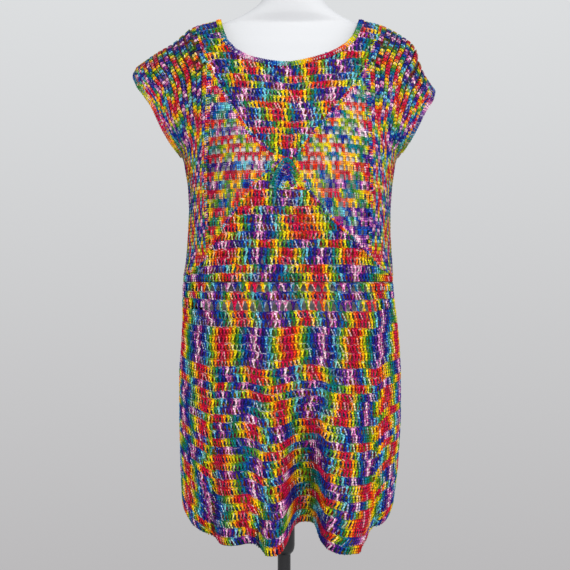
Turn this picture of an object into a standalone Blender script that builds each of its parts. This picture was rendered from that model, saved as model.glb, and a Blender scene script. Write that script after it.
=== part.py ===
"""A crochet dress worn by a limbless dress form on a round-based stand.

Metres, +Z up, the front faces -Y, and the origin is on the floor at the middle of the stand's base.
The cloth is a wall of real thickness, made in panels that are parted by a narrow seam gap.
"""

import math

import bmesh
import bpy
import numpy as np
from mathutils import Vector
from mathutils.geometry import delaunay_2d_cdt

# The dress and form hang a little to the right of the pole
DRESS_X = 0.010

# Cloth
CLOTH = 0.0024
SEAM_GAP = 0.0003
ROUNDNESS = 2.3

# Heights above the floor
WAIST_Z = 0.905
UNDERARM_Z = 1.116
EYELET_BOTTOM_Z = 0.889

# Bodice: half widths to the wearer's side seam and, above the underarm, to the sleeve edge
BODICE_SIDES = (
    # height, left, right
    (0.905, 0.179, 0.172),
    (0.943, 0.173, 0.170),
    (0.983, 0.170, 0.167),
    (1.024, 0.168, 0.167),
    (1.065, 0.170, 0.170),
    (1.106, 0.177, 0.176),
    (1.116, 0.181, 0.180),
    (1.136, 0.195, 0.193),
    (1.157, 0.207, 0.204),
    (1.187, 0.221, 0.219),
    (1.208, 0.233, 0.233),
    (1.228, 0.249, 0.240),
    (1.232, 0.251, 0.241),
    (1.248, 0.259, 0.241),
    (1.259, 0.262, 0.241),
)
SLEEVE_TIP_LEFT = (0.262, 1.259)
SLEEVE_TIP_RIGHT = (0.241, 1.232)

# Shoulder line from the neck out to the sleeve tip; inside the neckline it is only a guide
SHOULDER_LEFT = (
    # from centre, height
    (0.000, 1.358),
    (0.060, 1.354),
    (0.122, 1.346),
    (0.147, 1.340),
    (0.170, 1.330),
    (0.185, 1.316),
    (0.200, 1.304),
    (0.221, 1.293),
    (0.245, 1.277),
    (0.258, 1.268),
    SLEEVE_TIP_LEFT,
)
SHOULDER_RIGHT = (
    # from centre, height
    (0.000, 1.358),
    (0.060, 1.354),
    (0.122, 1.346),
    (0.147, 1.340),
    (0.170, 1.330),
    (0.185, 1.321),
    (0.203, 1.309),
    (0.212, 1.296),
    (0.216, 1.277),
    (0.225, 1.255),
    SLEEVE_TIP_RIGHT,
)
ROLL_AT_NECK = 0.075
ROLL_AT_SLEEVE = 0.046
ROLL_FROM = 0.78
SLEEVE_SPREAD = 0.085
SLEEVE_OPEN_BY = 0.45

# Depth of the cloth in front of and behind the side seams
BODICE_DEPTHS = (
    # height, front, back
    (0.905, 0.134, 0.120),
    (0.950, 0.135, 0.114),
    (1.000, 0.136, 0.110),
    (1.050, 0.136, 0.110),
    (1.095, 0.133, 0.112),
    (1.130, 0.126, 0.114),
    (1.170, 0.112, 0.113),
    (1.210, 0.096, 0.108),
    (1.250, 0.081, 0.097),
    (1.290, 0.070, 0.084),
    (1.330, 0.063, 0.075),
    (1.390, 0.058, 0.068),
)
BUST_X, BUST_Z, BUST_RISE = 0.078, 1.100, 0.010
BUST_SPREAD_X, BUST_SPREAD_UP, BUST_SPREAD_DOWN = 0.042, 0.050, 0.100

# Skirt: half widths, and depths in front of and behind the side seams
HEM_HALF, HEM_Z = 0.180, 0.502
SKIRT_SECTIONS = (
    # height, left, right, front, back
    (0.488, 0.158, 0.146, 0.150, 0.150),
    (0.504, 0.170, 0.156, 0.150, 0.150),
    (0.514, 0.177, 0.163, 0.150, 0.150),
    (0.535, 0.180, 0.172, 0.149, 0.149),
    (0.596, 0.183, 0.180, 0.147, 0.147),
    (0.677, 0.185, 0.185, 0.143, 0.142),
    (0.759, 0.185, 0.185, 0.139, 0.137),
    (0.800, 0.182, 0.183, 0.137, 0.133),
    (0.841, 0.180, 0.179, 0.136, 0.128),
    (0.881, 0.180, 0.174, 0.135, 0.122),
    (0.905, 0.179, 0.172, 0.134, 0.120),
)
HEM_HEIGHTS = (
    # across, front, back
    (-HEM_HALF, 0.535, 0.518),
    (-0.160, 0.515, 0.508),
    (-0.140, 0.506, 0.506),
    (-0.124, 0.493, 0.504),
    (-0.083, 0.501, 0.502),
    (-0.066, 0.505, 0.502),
    (-0.042, 0.489, 0.502),
    (-0.024, 0.491, 0.504),
    (0.016, 0.511, 0.505),
    (0.044, 0.513, 0.506),
    (0.055, 0.498, 0.505),
    (0.090, 0.488, 0.502),
    (0.118, 0.484, 0.503),
    (0.132, 0.480, 0.503),
    (0.148, 0.509, 0.505),
    (HEM_HALF, 0.520, 0.512),
)
# A fold goes inwards where its depth is positive, and stands out where it is negative
FRONT_FOLDS = (
    # across at hem, across at top, half width, depth, top height, squareness
    (-0.122, -0.118, 0.011, 0.030, 0.760, 2),
    (-0.083, -0.070, 0.026, -0.010, 0.720, 2),
    (-0.050, -0.042, 0.009, 0.014, 0.590, 2),
    (-0.024, -0.016, 0.021, -0.020, 0.720, 2),
    (0.022, 0.019, 0.026, 0.104, 0.745, 4),
    (0.087, 0.074, 0.029, -0.018, 0.780, 2),
    (0.131, 0.128, 0.010, 0.038, 0.845, 2),
)
BACK_FOLDS = (
    # across at hem, across at top, half width, depth, top height, squareness
    (-0.105, -0.095, 0.014, 0.030, 0.780, 2),
    (-0.060, -0.055, 0.026, -0.012, 0.720, 2),
    (-0.012, -0.008, 0.018, 0.046, 0.740, 3),
    (0.045, 0.040, 0.026, -0.014, 0.720, 2),
    (0.095, 0.088, 0.014, 0.034, 0.790, 2),
)
FOLD_GROWTH = 1.25

# Neckline heights by distance from the centre
NECK_HALF = 0.122
NECKLINE = (
    # from centre, front left, front right, back
    (0.000, 1.254, 1.254, 1.325),
    (0.020, 1.255, 1.258, 1.325),
    (0.040, 1.258, 1.263, 1.326),
    (0.065, 1.264, 1.271, 1.328),
    (0.081, 1.272, 1.280, 1.331),
    (0.090, 1.278, 1.286, 1.333),
    (0.098, 1.285, 1.293, 1.335),
    (0.106, 1.295, 1.303, 1.337),
    (0.113, 1.312, 1.318, 1.339),
    (0.119, 1.334, 1.336, 1.343),
    (0.122, 1.346, 1.346, 1.346),
)

# Seams of the front bodice, as seen from the front: across, height
YOKE_TOP_X = 0.155
KNOT_LEFT = (-0.013, 1.097)
KNOT_RIGHT = (0.005, 1.097)
YOKE_SEAM_LEFT = (KNOT_LEFT, (-0.034, 1.111), (-0.061, 1.135), (-0.088, 1.176), (-0.115, 1.222))
YOKE_SEAM_RIGHT = (KNOT_RIGHT, (0.026, 1.124), (0.061, 1.168), (0.090, 1.205), (0.112, 1.234))
NET_TOP_LEFT, NET_TOP_RIGHT = (-0.133, 1.258), (0.128, 1.262)
NET_FOOT_LEFT, NET_FOOT_RIGHT = (-0.133, 0.946), (0.128, 0.946)
MIDRIFF_SEAM_LEFT = (KNOT_LEFT, (-0.031, 1.081), (-0.061, 1.052), (-0.080, 1.024), (-0.102, 0.996))
MIDRIFF_SEAM_RIGHT = (KNOT_RIGHT, (0.013, 1.070), (0.028, 1.048), (0.069, 0.999), (0.098, 0.973))
MIDRIFF_SIDE_Z = 0.917
MIDRIFF_TAIL_LEFT = (NET_FOOT_LEFT, (-0.143, 0.932), (-0.160, 0.923))
MIDRIFF_TAIL_RIGHT = (NET_FOOT_RIGHT, (0.138, 0.932), (0.154, 0.923))
RIB_LINE_LEFT = (NET_FOOT_LEFT, (-0.137, 1.040), (-0.136, 1.140), NET_TOP_LEFT)
RIB_LINE_RIGHT = (NET_FOOT_RIGHT, (0.131, 1.040), (0.130, 1.140), NET_TOP_RIGHT)

# Openwork
NET_PITCH, NET_ROW = 0.0112, 0.0142
NET_HOLE_WIDE, NET_HOLE_HIGH = 0.0066, 0.0084
NET_MARGIN = 0.0028
EYELETS_A_SIDE = 44
EYELET_WIDE_SHARE, EYELET_HIGH = 0.58, 0.0072

# Ribs of the side panels
RIBS, RIB_RISE, RIB_ROWS = 13, 0.0016, 7
RIB_MARGIN = 0.003

# Edge rows
EDGE_RADIUS = 0.0019
EDGE_SIDES = 6

# Dress form
FORM_SECTIONS = (
    # height, half width, front, back, roundness
    (0.620, 0.132, 0.078, 0.084, 2.2),
    (0.625, 0.149, 0.090, 0.098, 2.2),
    (0.640, 0.156, 0.096, 0.105, 2.2),
    (0.760, 0.163, 0.101, 0.115, 2.2),
    (0.840, 0.152, 0.098, 0.104, 2.2),
    (0.900, 0.142, 0.096, 0.090, 2.2),
    (0.950, 0.140, 0.098, 0.084, 2.3),
    (1.010, 0.147, 0.110, 0.086, 2.4),
    (1.055, 0.154, 0.120, 0.091, 2.5),
    (1.095, 0.158, 0.1255, 0.097, 2.5),
    (1.130, 0.166, 0.119, 0.101, 2.4),
    (1.170, 0.173, 0.105, 0.102, 2.4),
    (1.220, 0.181, 0.088, 0.096, 2.4),
    (1.265, 0.186, 0.070, 0.077, 2.4),
    (1.300, 0.184, 0.045, 0.056, 2.2),
    (1.3160, 0.1780, 0.038, 0.047, 2.0),
    (1.3277, 0.1690, 0.033, 0.040, 1.8),
    (1.3378, 0.1470, 0.031, 0.039, 1.7),
    (1.3424, 0.1200, 0.033, 0.043, 1.7),
    (1.3535, 0.0900, 0.040, 0.048, 1.9),
    (1.3690, 0.0640, 0.045, 0.051, 2.0),
    (1.3850, 0.0520, 0.047, 0.052, 2.0),
    (1.4320, 0.0485, 0.045, 0.049, 2.0),
    (1.4370, 0.0430, 0.040, 0.044, 2.0),
)
FORM_SIDES = 28
FORM_BUST_RISE = 0.0125
NECK_SHIFT = 0.005

# Stand
POLE_RADIUS = 0.0110
COLLAR_RADIUS, COLLAR_TOP_Z, COLLAR_BOTTOM_Z = 0.0180, 0.500, 0.444
BASE_RADIUS, BASE_HEIGHT = 0.175, 0.012
SOCKET_RADIUS, SOCKET_HEIGHT = 0.021, 0.045
STAND_SIDES = 20

# Metres for one u and one v where a bodice panel is laid flat, and for s and w of the skirt
FLAT_MAP = (0.24, 0.42)
SKIRT_MAP = (0.6, WAIST_Z - 0.5)

# Sampling of the walls
OUTLINE_STEP = 0.017
STRAP_STEPS = 6
PANEL_GRID = 0.028
SKIRT_COLUMNS_FRONT, SKIRT_COLUMNS_BACK = 52, 34
SKIRT_ROWS_FRONT, SKIRT_ROWS_BACK = 11, 8
RING_POINTS = 1201
PLACE_ROUNDS = 30
TABLE_ROWS, TABLE_COLUMNS = 97, 401

FRONT, BACK = -1, 1

COLOURS = {
    # name: colour, roughness, metallic
    "crochet_yarn": ((0.45, 0.20, 0.32), 0.80, 0.0),
    "edge_yarn": ((0.20, 0.25, 0.50), 0.80, 0.0),
    "form_cover": ((0.86, 0.86, 0.87), 0.60, 0.0),
    "stand_black": ((0.02, 0.02, 0.022), 0.40, 0.0),
}


def clear_scene():
    for old in list(bpy.data.objects):
        bpy.data.objects.remove(old)


def material(name):
    """The named material, made once."""
    found = bpy.data.materials.get(name)
    if found:
        return found
    colour, roughness, metallic = COLOURS[name]
    made = bpy.data.materials.new(name)
    made.use_nodes = True
    shader = made.node_tree.nodes["Principled BSDF"]
    shader.inputs["Base Color"].default_value = (*colour, 1.0)
    shader.inputs["Roughness"].default_value = roughness
    shader.inputs["Metallic"].default_value = metallic
    return made


def add_object(name, points, faces, finish):
    """A named solid from points measured from the middle of the dress."""
    mesh = bpy.data.meshes.new(name)
    mesh.from_pydata([(p[0] + DRESS_X, p[1], p[2]) for p in points], [], faces)
    work = bmesh.new()
    work.from_mesh(mesh)
    bmesh.ops.recalc_face_normals(work, faces=work.faces)
    work.to_mesh(mesh)
    work.free()
    mesh.materials.append(material(finish))
    made = bpy.data.objects.new(name, mesh)
    bpy.context.scene.collection.objects.link(made)
    mesh.shade_smooth()
    mesh.set_sharp_from_angle(angle=math.radians(40))
    return made


def column(table, index):
    return np.array([row[index] for row in table])


def blend(values, table, index):
    return np.interp(values, column(table, 0), column(table, index))


def by_side(u, left, right):
    return np.where(u < 0, left, right)


def bodice_frame(u, rise):
    """Half width of the cloth and share of the side curve, for columns u at a share of their height."""
    tip_z = by_side(u, SLEEVE_TIP_LEFT[1], SLEEVE_TIP_RIGHT[1])
    side_z = WAIST_Z + (tip_z - WAIST_Z) * rise
    half = by_side(u, blend(side_z, BODICE_SIDES, 1), blend(side_z, BODICE_SIDES, 2))
    under = (UNDERARM_Z - WAIST_Z) / (tip_z - WAIST_Z)
    sleeve = np.clip((rise - under) / (1 - under), 0, 1)
    return half, 1 - SLEEVE_SPREAD * np.sin(np.clip(sleeve / SLEEVE_OPEN_BY, 0, 1) * math.pi / 2)


def column_height(u):
    """Height from the waist to the shoulder line of the columns u, and where their roll starts."""
    across = np.abs(u) * by_side(u, SLEEVE_TIP_LEFT[0], SLEEVE_TIP_RIGHT[0])
    top = by_side(u, blend(across, SHOULDER_LEFT, 1), blend(across, SHOULDER_RIGHT, 1))
    roll = ROLL_AT_NECK + (ROLL_AT_SLEEVE - ROLL_AT_NECK) * np.abs(u)
    return top - WAIST_Z, 1 - roll / (top - WAIST_Z)


def bodice(face):
    """The bodice's middle surface on one face: u runs -1 to 1 across, v runs 0 at the waist to 1 at the shoulder."""

    def surface(uv):
        u, v = np.asarray(uv, float).T
        height, start = column_height(u)
        turn = np.clip((v - ROLL_FROM) / (1 - ROLL_FROM), 0, 1) * math.pi / 2
        rise = np.where(v < ROLL_FROM, v / ROLL_FROM * start, start + (1 - start) * np.sin(turn))
        z = WAIST_Z + height * rise
        half, spread = bodice_frame(u, rise)
        x = u * half
        curve = np.clip(1 - (spread * np.abs(u)) ** ROUNDNESS, 0, 1) ** (1 / ROUNDNESS)
        depth = blend(z, BODICE_DEPTHS, 1 if face == FRONT else 2)
        if face == FRONT:
            tall = np.where(z > BUST_Z, BUST_SPREAD_UP, BUST_SPREAD_DOWN)
            away = ((np.abs(x) - BUST_X) / BUST_SPREAD_X) ** 2 + ((z - BUST_Z) / tall) ** 2
            fade = np.clip((z - WAIST_Z) / 0.05, 0, 1)
            depth = depth + BUST_RISE * np.exp(-away) * fade
        y = face * depth * curve * np.cos(turn)
        return np.stack([x, y, z], 1)

    return surface


def bodice_places(x, z):
    """The (u, v) points of the bodice that are seen at x and z from the front."""
    x, z = np.broadcast_arrays(np.asarray(x, float), np.asarray(z, float))
    u = np.clip(x / 0.2, -1, 1)
    for _ in range(PLACE_ROUNDS):
        height, start = column_height(u)
        rise = np.clip((z - WAIST_Z) / height, 0, 1)
        u = (u + np.clip(x / bodice_frame(u, rise)[0], -1, 1)) / 2
    turn = np.arcsin(np.clip((rise - start) / (1 - start), 0, 1)) / (math.pi / 2)
    v = np.where(rise < start, rise / start * ROLL_FROM, ROLL_FROM + (1 - ROLL_FROM) * turn)
    return np.stack([u, v], -1)


def bodice_place(x, z):
    """The (u, v) of one point of the bodice."""
    return tuple(float(a) for a in bodice_places(x, z))


def fold_depth(x, z, folds):
    """How far the folds push the skirt inwards at x and z."""
    total = np.zeros_like(x)
    for at_hem, at_top, half, depth, top, square in folds:
        grown = np.clip((top - z) / (top - HEM_Z), 0, 1.05)
        centre = at_top + (at_hem - at_top) * grown
        shape = np.exp(-np.abs((x - centre) / half) ** square)
        total += depth * grown**FOLD_GROWTH * shape
    return total


def skirt_ring(face, w):
    """One ring of the skirt at w, 0 at the hem and 1 at the waist, evenly spaced from left to right."""
    turn = np.linspace(-math.pi / 2, math.pi / 2, RING_POINTS)
    across = np.sin(turn)
    lowest = blend(across * HEM_HALF, HEM_HEIGHTS, 1 if face == FRONT else 2)
    z = lowest + (WAIST_Z - lowest) * w
    half = by_side(across, blend(z, SKIRT_SECTIONS, 1), blend(z, SKIRT_SECTIONS, 2))
    x = across * half
    curve = np.clip(1 - np.abs(across) ** ROUNDNESS, 0, 1) ** (1 / ROUNDNESS)
    depth = blend(z, SKIRT_SECTIONS, 3 if face == FRONT else 4)
    inward = fold_depth(x, z, FRONT_FOLDS if face == FRONT else BACK_FOLDS)
    y = face * (depth - inward) * curve
    ring = np.stack([x, y, z], 1)
    along = np.concatenate([[0], np.cumsum(np.linalg.norm(np.diff(ring, axis=0), axis=1))])
    even = np.linspace(0, along[-1], TABLE_COLUMNS)
    return np.stack([np.interp(even, along, ring[:, k]) for k in range(3)], 1)


def skirt(face):
    """The skirt's middle surface on one face: s runs 0 at the left side to 1 at the right, w from hem to waist."""
    table = np.stack([skirt_ring(face, w) for w in np.linspace(0, 1, TABLE_ROWS)])

    def surface(uv):
        s, w = np.asarray(uv, float).T
        a = np.clip(w, 0, 1) * (TABLE_ROWS - 1)
        b = np.clip(s, 0, 1) * (TABLE_COLUMNS - 1)
        i = np.minimum(a.astype(int), TABLE_ROWS - 2)
        j = np.minimum(b.astype(int), TABLE_COLUMNS - 2)
        p, q = (a - i)[:, None], (b - j)[:, None]
        low = table[i, j] * (1 - q) + table[i, j + 1] * q
        high = table[i + 1, j] * (1 - q) + table[i + 1, j + 1] * q
        return low * (1 - p) + high * p

    return surface


def normals(surface, uv, low, high, face):
    """Outward normals by small steps that stay between the corners low and high."""
    uv = np.asarray(uv, float)
    step = 2e-3
    ends = []
    for k in range(2):
        up, down = uv.copy(), uv.copy()
        up[:, k] = np.minimum(uv[:, k] + step, high[k])
        down[:, k] = np.maximum(uv[:, k] - step, low[k])
        ends.append(surface(up) - surface(down))
    n = np.cross(ends[0], ends[1]) * (-face)
    return n / np.linalg.norm(n, axis=1)[:, None]


def smooth_path(points, step):
    """Points along a smooth curve through the given ones, which it keeps, about step apart."""
    points = np.array(points, float)
    padded = np.vstack([2 * points[0] - points[1], points, 2 * points[-1] - points[-2]])
    path = [points[0]]
    for i in range(1, len(points)):
        a, b, c, d = padded[i - 1], padded[i], padded[i + 1], padded[i + 2]
        count = max(1, round(float(np.linalg.norm(c - b)) / step))
        for t in np.linspace(0, 1, count + 1)[1:]:
            path.append(
                0.5 * (2 * b + (c - a) * t + (2 * a - 5 * b + 4 * c - d) * t**2 + (3 * b - a - 3 * c + d) * t**3)
            )
    return path


def straight(start, end, steps):
    """Points from start to end in even steps."""
    return [tuple(np.array(start) + (np.array(end) - np.array(start)) * t) for t in np.linspace(0, 1, steps + 1)]


def seam(points):
    """A seam of the front bodice as (u, v) points."""
    return [bodice_place(x, z) for x, z in smooth_path(points, OUTLINE_STEP)]


def shoulder_run(from_x, to_x):
    """The (u, v) points along the shoulder line between two distances across, on one side."""
    tip = SLEEVE_TIP_LEFT[0] if min(from_x, to_x) < 0 else SLEEVE_TIP_RIGHT[0]
    count = max(1, round(abs(to_x - from_x) / OUTLINE_STEP))
    return [(x / tip, 1.0) for x in np.linspace(from_x, to_x, count + 1)]


def side_run(side, z_from, z_to):
    """The (u, v) points along the side seam or sleeve edge between two heights."""
    tip = SLEEVE_TIP_LEFT[1] if side < 0 else SLEEVE_TIP_RIGHT[1]
    height, start = (float(a[0]) for a in column_height(np.array([float(side)])))
    ends = []
    for z in (z_from, z_to):
        rise = min((z - WAIST_Z) / height, 1)
        turn = math.asin(min(max((rise - start) / (1 - start), 0), 1)) / (math.pi / 2)
        ends.append(rise / start * ROLL_FROM if rise < start else ROLL_FROM + (1 - ROLL_FROM) * turn)
    count = max(1, round(abs(min(z_to, tip) - z_from) / OUTLINE_STEP))
    return [(float(side), v) for v in np.linspace(ends[0], ends[1], count + 1)]


def neckline_run(face):
    """The (u, v) points along the neckline from the left shoulder to the right one."""
    turns = np.linspace(-math.pi / 2, math.pi / 2, 19)
    run = []
    for turn in turns[1:-1]:
        x = NECK_HALF * math.sin(turn)
        index = 3 if face == BACK else 1 if x < 0 else 2
        run.append(bodice_place(x, float(blend(abs(x), NECKLINE, index))))
    left, right = -NECK_HALF / SLEEVE_TIP_LEFT[0], NECK_HALF / SLEEVE_TIP_RIGHT[0]
    return [(left, 1.0), *run, (right, 1.0)]


def waist_run(face, count):
    """The (u, 0) points along the waist, evenly spaced over the cloth from left to right."""
    ring = skirt(face)(np.stack([np.linspace(0, 1, count + 1), np.ones(count + 1)], 1))
    half = by_side(ring[:, 0], SKIRT_SECTIONS[-1][1], SKIRT_SECTIONS[-1][2])
    return [(float(u), 0.0) for u in np.clip(ring[:, 0] / half, -1, 1)]


def joined(*runs):
    """The runs put end to end as one loop, without their repeated ends."""
    loop = []
    for run in runs:
        for point in run:
            if not loop or math.dist(point, loop[-1]) > 1e-6:
                loop.append(tuple(point))
    return loop[:-1] if math.dist(loop[0], loop[-1]) < 1e-6 else loop


def inside(point, loop):
    """Whether a point of the plane lies in a closed loop."""
    x, y = point
    found = False
    for (ax, ay), (bx, by) in zip(loop, loop[1:] + loop[:1]):
        if (ay > y) != (by > y) and x < ax + (y - ay) / (by - ay) * (bx - ax):
            found = not found
    return found


def distance_to(point, loop):
    a = np.array(loop)
    b = np.roll(a, -1, axis=0)
    along = b - a
    t = np.clip(((point - a) * along).sum(1) / np.maximum((along**2).sum(1), 1e-18), 0, 1)
    return float(np.min(np.linalg.norm(a + t[:, None] * along - point, axis=1)))


def triangulate(outline, holes, inner):
    """Triangles over the outline without its holes, using every given point of the flat map."""
    coords = [Vector(p) for p in outline]
    edges = [(i, (i + 1) % len(outline)) for i in range(len(outline))]
    for hole in holes:
        first = len(coords)
        coords += [Vector(p) for p in hole]
        edges += [(first + i, first + (i + 1) % len(hole)) for i in range(len(hole))]
    coords += [Vector(p) for p in inner]
    _, _, faces, origins, _, _ = delaunay_2d_cdt(coords, edges, [], 0, 1e-7, True)
    faces = [[origins[i][0] for i in face] for face in faces]
    fences = {frozenset(edge) for edge in edges}
    sides = {}
    for index, face in enumerate(faces):
        for a, b in zip(face, face[1:] + face[:1]):
            sides.setdefault(frozenset((a, b)), []).append(index)
    kept = {}
    todo = [(owners[0], edge in fences) for edge, owners in sides.items() if len(owners) == 1]
    while todo:
        index, cloth = todo.pop()
        if index in kept:
            continue
        kept[index] = cloth
        face = faces[index]
        for a, b in zip(face, face[1:] + face[:1]):
            edge = frozenset((a, b))
            todo += [(other, cloth != (edge in fences)) for other in sides[edge] if other not in kept]
    return [face for index, face in enumerate(faces) if kept[index]]


def edge_inset(loop, at, up, amount):
    """The loop's points moved sideways into the cloth. up holds their normals."""
    moved = np.array(at)
    count = len(loop)
    for i in range(count):
        here, before, after = at[i], at[i - 1], at[(i + 1) % count]
        ways = []
        for start, end in ((before, here), (here, after)):
            way = np.cross(up[i], end - start)
            ways.append(way / max(np.linalg.norm(way), 1e-12))
        middle = ways[0] + ways[1]
        size = max(np.linalg.norm(middle), 0.4)
        moved[i] = here + middle / size * amount / max(size / 2, 0.35)
    return moved


def cloth_panel(name, surface, face, outline, corners, inner=(), holes=(), lifts=None, scale=FLAT_MAP):
    """A closed wall over a region of a surface, inset by half a seam gap. Lifts raise inner points outwards."""
    low, high = corners
    flat = laid_flat(outline, scale)
    turned = sum(a[0] * b[1] - b[0] * a[1] for a, b in zip(flat, flat[1:] + flat[:1]))
    if turned < 0:
        outline, flat = outline[::-1], flat[::-1]
    faces = triangulate(flat, [laid_flat(hole, scale) for hole in holes], laid_flat(inner, scale))
    every = list(outline) + [p for hole in holes for p in hole] + list(inner)
    at = surface(np.array(every))
    up = normals(surface, every, low, high, face)
    count = len(outline)
    amount = -face * SEAM_GAP / 2
    at[:count] = edge_inset(outline, at[:count], up[:count], amount)
    raised = np.zeros(len(every))
    if lifts is not None:
        raised[-len(inner):] = lifts
    outer = at + up * (CLOTH / 2 + raised)[:, None]
    under = at - up * (CLOTH / 2)
    total = len(every)
    mesh_faces = [list(f) for f in faces] + [[i + total for i in reversed(f)] for f in faces]
    loops, first = [list(range(count))], count
    for hole in holes:
        loops.append(list(range(first, first + len(hole))))
        first += len(hole)
    for loop in loops:
        for a, b in zip(loop, loop[1:] + loop[:1]):
            mesh_faces.append([a, b, b + total, a + total])
    return add_object(name, np.vstack([outer, under]), mesh_faces, "crochet_yarn")


def laid_flat(points, scale=FLAT_MAP):
    """The (u, v) points in metres on the flat map."""
    return [tuple(np.array(p) * scale) for p in points]


def clear_of_edge(points, outline, clear):
    """Which of the (u, v) points lie inside the outline and at least that far from it."""
    flat = laid_flat(outline)
    spots = laid_flat(points)
    return [i for i, p in enumerate(spots) if inside(p, flat) and distance_to(np.array(p), flat) > clear]


def plain_grid(outline, step):
    """Points of an even grid inside the outline and clear of it."""
    across = np.arange(step / 2 - FLAT_MAP[0], FLAT_MAP[0], step) / FLAT_MAP[0]
    up = np.arange(step / 2, FLAT_MAP[1], step) / FLAT_MAP[1]
    points = [(u, v) for u in across for v in up]
    return [points[i] for i in clear_of_edge(points, outline, step * 0.45)]


def net_holes(surface, outline, side):
    """The open squares of a net, in level rows from the rib line inwards."""
    line = RIB_LINE_LEFT if side < 0 else RIB_LINE_RIGHT
    heights = np.arange(NET_FOOT_LEFT[1] + NET_ROW * 0.6, NET_TOP_LEFT[1], NET_ROW)
    holes = []
    for z in heights:
        start = float(np.interp(z, [p[1] for p in line], [p[0] for p in line]))
        xs = np.linspace(start, 0.0, 200)
        at = surface(bodice_places(xs, z))
        along = np.concatenate([[0], np.cumsum(np.linalg.norm(np.diff(at, axis=0), axis=1))])
        centre = NET_MARGIN + NET_PITCH / 2
        while centre < along[-1]:
            corners = []
            for da, dz in ((-1, -1), (1, -1), (1, 1), (-1, 1)):
                x = float(np.interp(centre + da * NET_HOLE_WIDE / 2, along, xs))
                corners.append(bodice_place(x, z + dz * NET_HOLE_HIGH / 2))
            if len(clear_of_edge(corners, outline, NET_MARGIN)) == len(corners):
                holes.append(corners)
            centre += NET_PITCH
    return holes


def rib_points(side, line, edge_z):
    """Inner points of a side panel in columns that alternate between the crest and the foot of a rib."""
    points, lifts = [], []
    for z in np.linspace(MIDRIFF_SIDE_Z + 0.022, edge_z - 0.016, RIB_ROWS):
        start = float(np.interp(z, [p[1] for p in line], [p[0] for p in line]))
        u_in, v = bodice_place(start, z)
        for k in range(1, 2 * RIBS):
            turn = math.asin(abs(u_in)) + (math.pi / 2 - math.asin(abs(u_in))) * k / (2 * RIBS)
            points.append((side * math.sin(turn), v))
            lifts.append(RIB_RISE if k % 2 else 0.0)
    return points, lifts


def tube(name, path, radius, sides, finish, closed=True):
    """A round bar along a path that closes on itself."""
    path = np.asarray(path, float)
    count = len(path)
    way = np.roll(path, -1, axis=0) - np.roll(path, 1, axis=0)
    way /= np.linalg.norm(way, axis=1)[:, None]
    centre = path.mean(0)
    out = path - centre
    out[:, 2] *= 0.2
    out -= (out * way).sum(1)[:, None] * way
    out /= np.linalg.norm(out, axis=1)[:, None]
    up = np.cross(way, out)
    points, faces = [], []
    for i in range(count):
        for k in range(sides):
            turn = 2 * math.pi * k / sides
            points.append(path[i] + radius * (math.cos(turn) * out[i] + math.sin(turn) * up[i]))
    for i in range(count):
        for k in range(sides):
            a, b = i * sides + k, i * sides + (k + 1) % sides
            ahead = ((i + 1) % count) * sides
            faces.append([a, b, ahead + (k + 1) % sides, ahead + k])
    return add_object(name, points, faces, finish)


def edge_path(runs):
    """Points just past the free edge of the cloth, in line with it. runs holds (surface, points, low, high, aim)."""
    path = []
    for surface, points, low, high, aim in runs:
        at = surface(np.array(points))
        up = normals(surface, points, low, high, FRONT)
        across = np.cross(up, np.gradient(at, axis=0))
        across /= np.linalg.norm(across, axis=1)[:, None]
        across *= np.sign(across @ np.array(aim, float) + 1e-9)[:, None]
        path.append(at + across * (EDGE_RADIUS + SEAM_GAP))
    return path


def cuff_path(side, runs):
    """Points beside the sleeve edge, on the side away from the body. runs holds (surface, points)."""
    path = []
    for surface, points in runs:
        at = surface(np.array(points))
        along = np.gradient(at, axis=0)
        along /= np.linalg.norm(along, axis=1)[:, None]
        aim = np.array((side, 0.0, 0.0))
        away = aim - along * (along @ aim)[:, None]
        away /= np.linalg.norm(away, axis=1)[:, None]
        path.append(at + away * (EDGE_RADIUS + SEAM_GAP + CLOTH / 2))
    return path


def weld_path(parts, apart):
    """The parts put end to end as one closed path with no two points too near each other."""
    path = []
    for part in parts:
        for point in part:
            if not path or np.linalg.norm(point - path[-1]) > apart:
                path.append(point)
    while np.linalg.norm(path[0] - path[-1]) < apart:
        path.pop()
    return path


def lathe(name, profile, centre, sides, finish):
    """A solid turned about an upright line. The profile runs from the axis at the top to the axis below."""
    points, faces = [], []
    rings = [r for r in profile if r[0] > 0]
    for radius, z in rings:
        for k in range(sides):
            turn = 2 * math.pi * k / sides
            points.append((centre[0] + radius * math.cos(turn), centre[1] + radius * math.sin(turn), z))
    for i in range(len(rings) - 1):
        for k in range(sides):
            a, b = i * sides + k, i * sides + (k + 1) % sides
            faces.append([a, b, b + sides, a + sides])
    faces.append(list(range(sides)))
    faces.append(list(range(len(points) - sides, len(points))))
    return add_object(name, points, faces, finish)


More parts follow.
